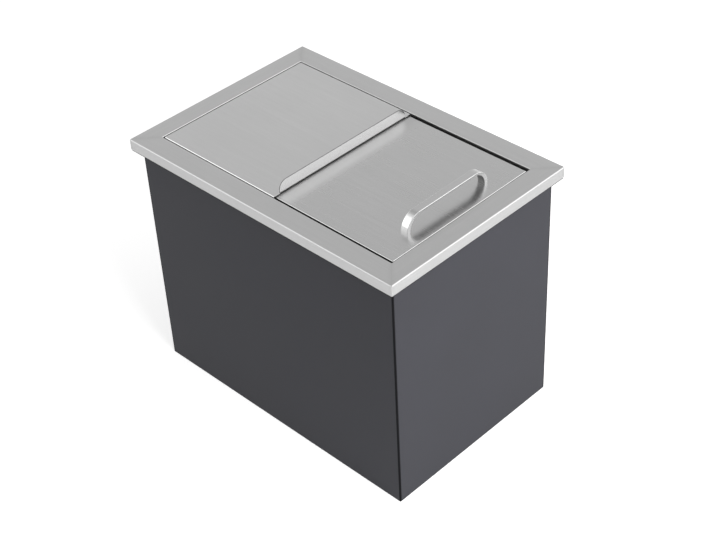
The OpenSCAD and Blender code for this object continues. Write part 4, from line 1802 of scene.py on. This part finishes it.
def build_floor():
    """Pale floor that shows white where it is lit and keeps the object's soft shadow."""
    look = settings("stage")
    reach = 9.0
    shell = Shell()
    shell.grid([[Vector((x * reach, y * reach, 0)) for x in even_stops(4)] for y in even_stops(4)])
    floor = shell.make("studio_floor", ((0, 0, 0), (0, 0, 1)))
    material, desk = new_material("Studio floor")
    shown, mirrored, _ = light_paths(desk)
    matt = desk.add("ShaderNodeBsdfDiffuse", {"Color": (0.80, 0.80, 0.80, 1)})
    strength = desk.sum_of_products((shown, look.floor_glow), (mirrored, look.floor_in_metal))
    glow = desk.add("ShaderNodeEmission", {"Strength": strength})
    lit = desk.result("ShaderNodeAddShader", (matt.outputs[0], glow.outputs[0]))
    from_below = desk.add("ShaderNodeNewGeometry").outputs["Backfacing"]
    clear = desk.add("ShaderNodeBsdfTransparent").outputs[0]
    sides = desk.add("ShaderNodeMixShader")
    for socket, value in zip(sides.inputs, (from_below, lit, clear)):
        desk.feed(socket, value)
    desk.show(sides)
    coat(floor, material)


def build_camera():
    """Camera at the photograph's place and angle."""
    look = settings("stage")
    yaw, pitch, roll = look.camera_yaw, look.camera_pitch, look.camera_roll
    ahead = Vector((math.cos(pitch) * math.cos(yaw), math.cos(pitch) * math.sin(yaw), math.sin(pitch)))
    level_right = Vector((math.sin(yaw), -math.cos(yaw), 0))
    level_up = level_right.cross(ahead)
    right = level_right * math.cos(roll) + level_up * math.sin(roll)
    up = level_up * math.cos(roll) - level_right * math.sin(roll)
    camera = bpy.data.cameras.new("Camera")
    camera.sensor_width = 36
    camera.lens = look.camera_lens
    camera.clip_start = 0.05
    camera.clip_end = 60
    holder = bpy.data.objects.new("Camera", camera)
    turn = Matrix((right, up, -ahead)).transposed().to_4x4()
    holder.matrix_world = Matrix.Translation(look.camera_place) @ turn
    bpy.context.scene.collection.objects.link(holder)
    bpy.context.scene.camera = holder


def build_stage():
    """World, floor, lamps and camera."""
    look = settings("stage")
    bpy.context.scene.view_settings.view_transform = "Standard"
    build_world()
    build_floor()
    add_lamp("Back softbox", 42, 38, 3.2, 3.4, look.back_power)
    add_lamp("Left softbox", -137, 27, 3.0, 2.8, look.left_power)
    add_lamp("Right softbox", -8, 22, 1.4, 1.4, look.right_power, in_metal=False)
    build_camera()


# Operators, one for each piece or group of like pieces and one for the stage


class ICEBIN_OT_rim(bpy.types.Operator):
    """Build the rim and its sealing tape"""

    bl_idname = "icebin.rim"
    bl_label = "Rim"

    def execute(self, context):
        build_rim()
        build_tape()
        return {"FINISHED"}


class ICEBIN_OT_case(bpy.types.Operator):
    """Build the painted case and its base"""

    bl_idname = "icebin.case"
    bl_label = "Case"

    def execute(self, context):
        build_case()
        build_base()
        return {"FINISHED"}


class ICEBIN_OT_fixings(bpy.types.Operator):
    """Build the case's rivets and the port's cap"""

    bl_idname = "icebin.fixings"
    bl_label = "Base fixings"

    def execute(self, context):
        build_rivets()
        build_port_plug()
        return {"FINISHED"}


class ICEBIN_OT_seat(bpy.types.Operator):
    """Build the lid seat with its rails, rests and buffers"""

    bl_idname = "icebin.seat"
    bl_label = "Lid seat"

    def execute(self, context):
        build_seat()
        build_bars()
        build_buffers()
        return {"FINISHED"}


class ICEBIN_OT_tub(bpy.types.Operator):
    """Build the tub's walls and its floor"""

    bl_idname = "icebin.tub"
    bl_label = "Tub"

    def execute(self, context):
        build_tub_walls()
        build_tub_floor()
        return {"FINISHED"}


class ICEBIN_OT_foam(bpy.types.Operator):
    """Build the insulating foam"""

    bl_idname = "icebin.foam"
    bl_label = "Foam"

    def execute(self, context):
        build_foam()
        return {"FINISHED"}


class ICEBIN_OT_fixed_lid(bpy.types.Operator):
    """Build the fixed lid with its upturned lip"""

    bl_idname = "icebin.fixed_lid"
    bl_label = "Fixed lid"

    def execute(self, context):
        build_upper_lid()
        return {"FINISHED"}


class ICEBIN_OT_sliding_lid(bpy.types.Operator):
    """Build the sliding lid"""

    bl_idname = "icebin.sliding_lid"
    bl_label = "Sliding lid"

    def execute(self, context):
        build_lower_lid()
        return {"FINISHED"}


class ICEBIN_OT_handle(bpy.types.Operator):
    """Build the bar handle, its screws and washers"""

    bl_idname = "icebin.handle"
    bl_label = "Handle"

    def execute(self, context):
        build_handle()
        build_handle_fixings()
        return {"FINISHED"}


class ICEBIN_OT_drain(bpy.types.Operator):
    """Build the drain's flange, strainer, spout and grommet, with its gasket and locknut"""

    bl_idname = "icebin.drain"
    bl_label = "Drain"

    def execute(self, context):
        build_flange()
        build_strainer()
        build_spout()
        build_grommet()
        dress_gasket_and_locknut()
        return {"FINISHED"}


class ICEBIN_OT_plug(bpy.types.Operator):
    """Build the drain plug"""

    bl_idname = "icebin.plug"
    bl_label = "Drain plug"

    def execute(self, context):
        build_plug()
        return {"FINISHED"}


class ICEBIN_OT_stage(bpy.types.Operator):
    """Build the floor, the light and the camera"""

    bl_idname = "icebin.stage"
    bl_label = "Stage"

    def execute(self, context):
        build_stage()
        return {"FINISHED"}


STEPS = (
    ICEBIN_OT_rim,
    ICEBIN_OT_case,
    ICEBIN_OT_fixings,
    ICEBIN_OT_seat,
    ICEBIN_OT_tub,
    ICEBIN_OT_foam,
    ICEBIN_OT_fixed_lid,
    ICEBIN_OT_sliding_lid,
    ICEBIN_OT_handle,
    ICEBIN_OT_drain,
    ICEBIN_OT_plug,
    ICEBIN_OT_stage,
)


class ICEBIN_PT_panel(bpy.types.Panel):
    """Sidebar panel with the build steps and the settings"""

    bl_idname = "ICEBIN_PT_panel"
    bl_label = "Ice bin"
    bl_space_type = "VIEW_3D"
    bl_region_type = "UI"
    bl_category = "Ice bin"

    def draw(self, context):
        for step in STEPS:
            self.layout.operator(step.bl_idname)
        for kind in SETTINGS:
            group = settings(kind)
            for name in group.bl_rna.properties.keys():
                if name not in ("rna_type", "name"):
                    self.layout.prop(group, name)


def register():
    """Registers the settings, the steps and the panel."""
    for kind, group in SETTINGS.items():
        bpy.utils.register_class(group)
        setattr(bpy.types.Scene, "icebin_" + kind, PointerProperty(type=group))
    for step in STEPS:
        bpy.utils.register_class(step)
    bpy.utils.register_class(ICEBIN_PT_panel)


def unregister():
    """Takes everything out again, in reverse order."""
    bpy.utils.unregister_class(ICEBIN_PT_panel)
    for step in reversed(STEPS):
        bpy.utils.unregister_class(step)
    for kind, group in reversed(SETTINGS.items()):
        delattr(bpy.types.Scene, "icebin_" + kind)
        bpy.utils.unregister_class(group)


def main():
    """Builds the whole object and its stage."""
    register()
    for step in STEPS:
        operator = getattr(bpy.ops.icebin, step.bl_idname.split(".")[1])
        operator()


if __name__ == "__main__":
    main()
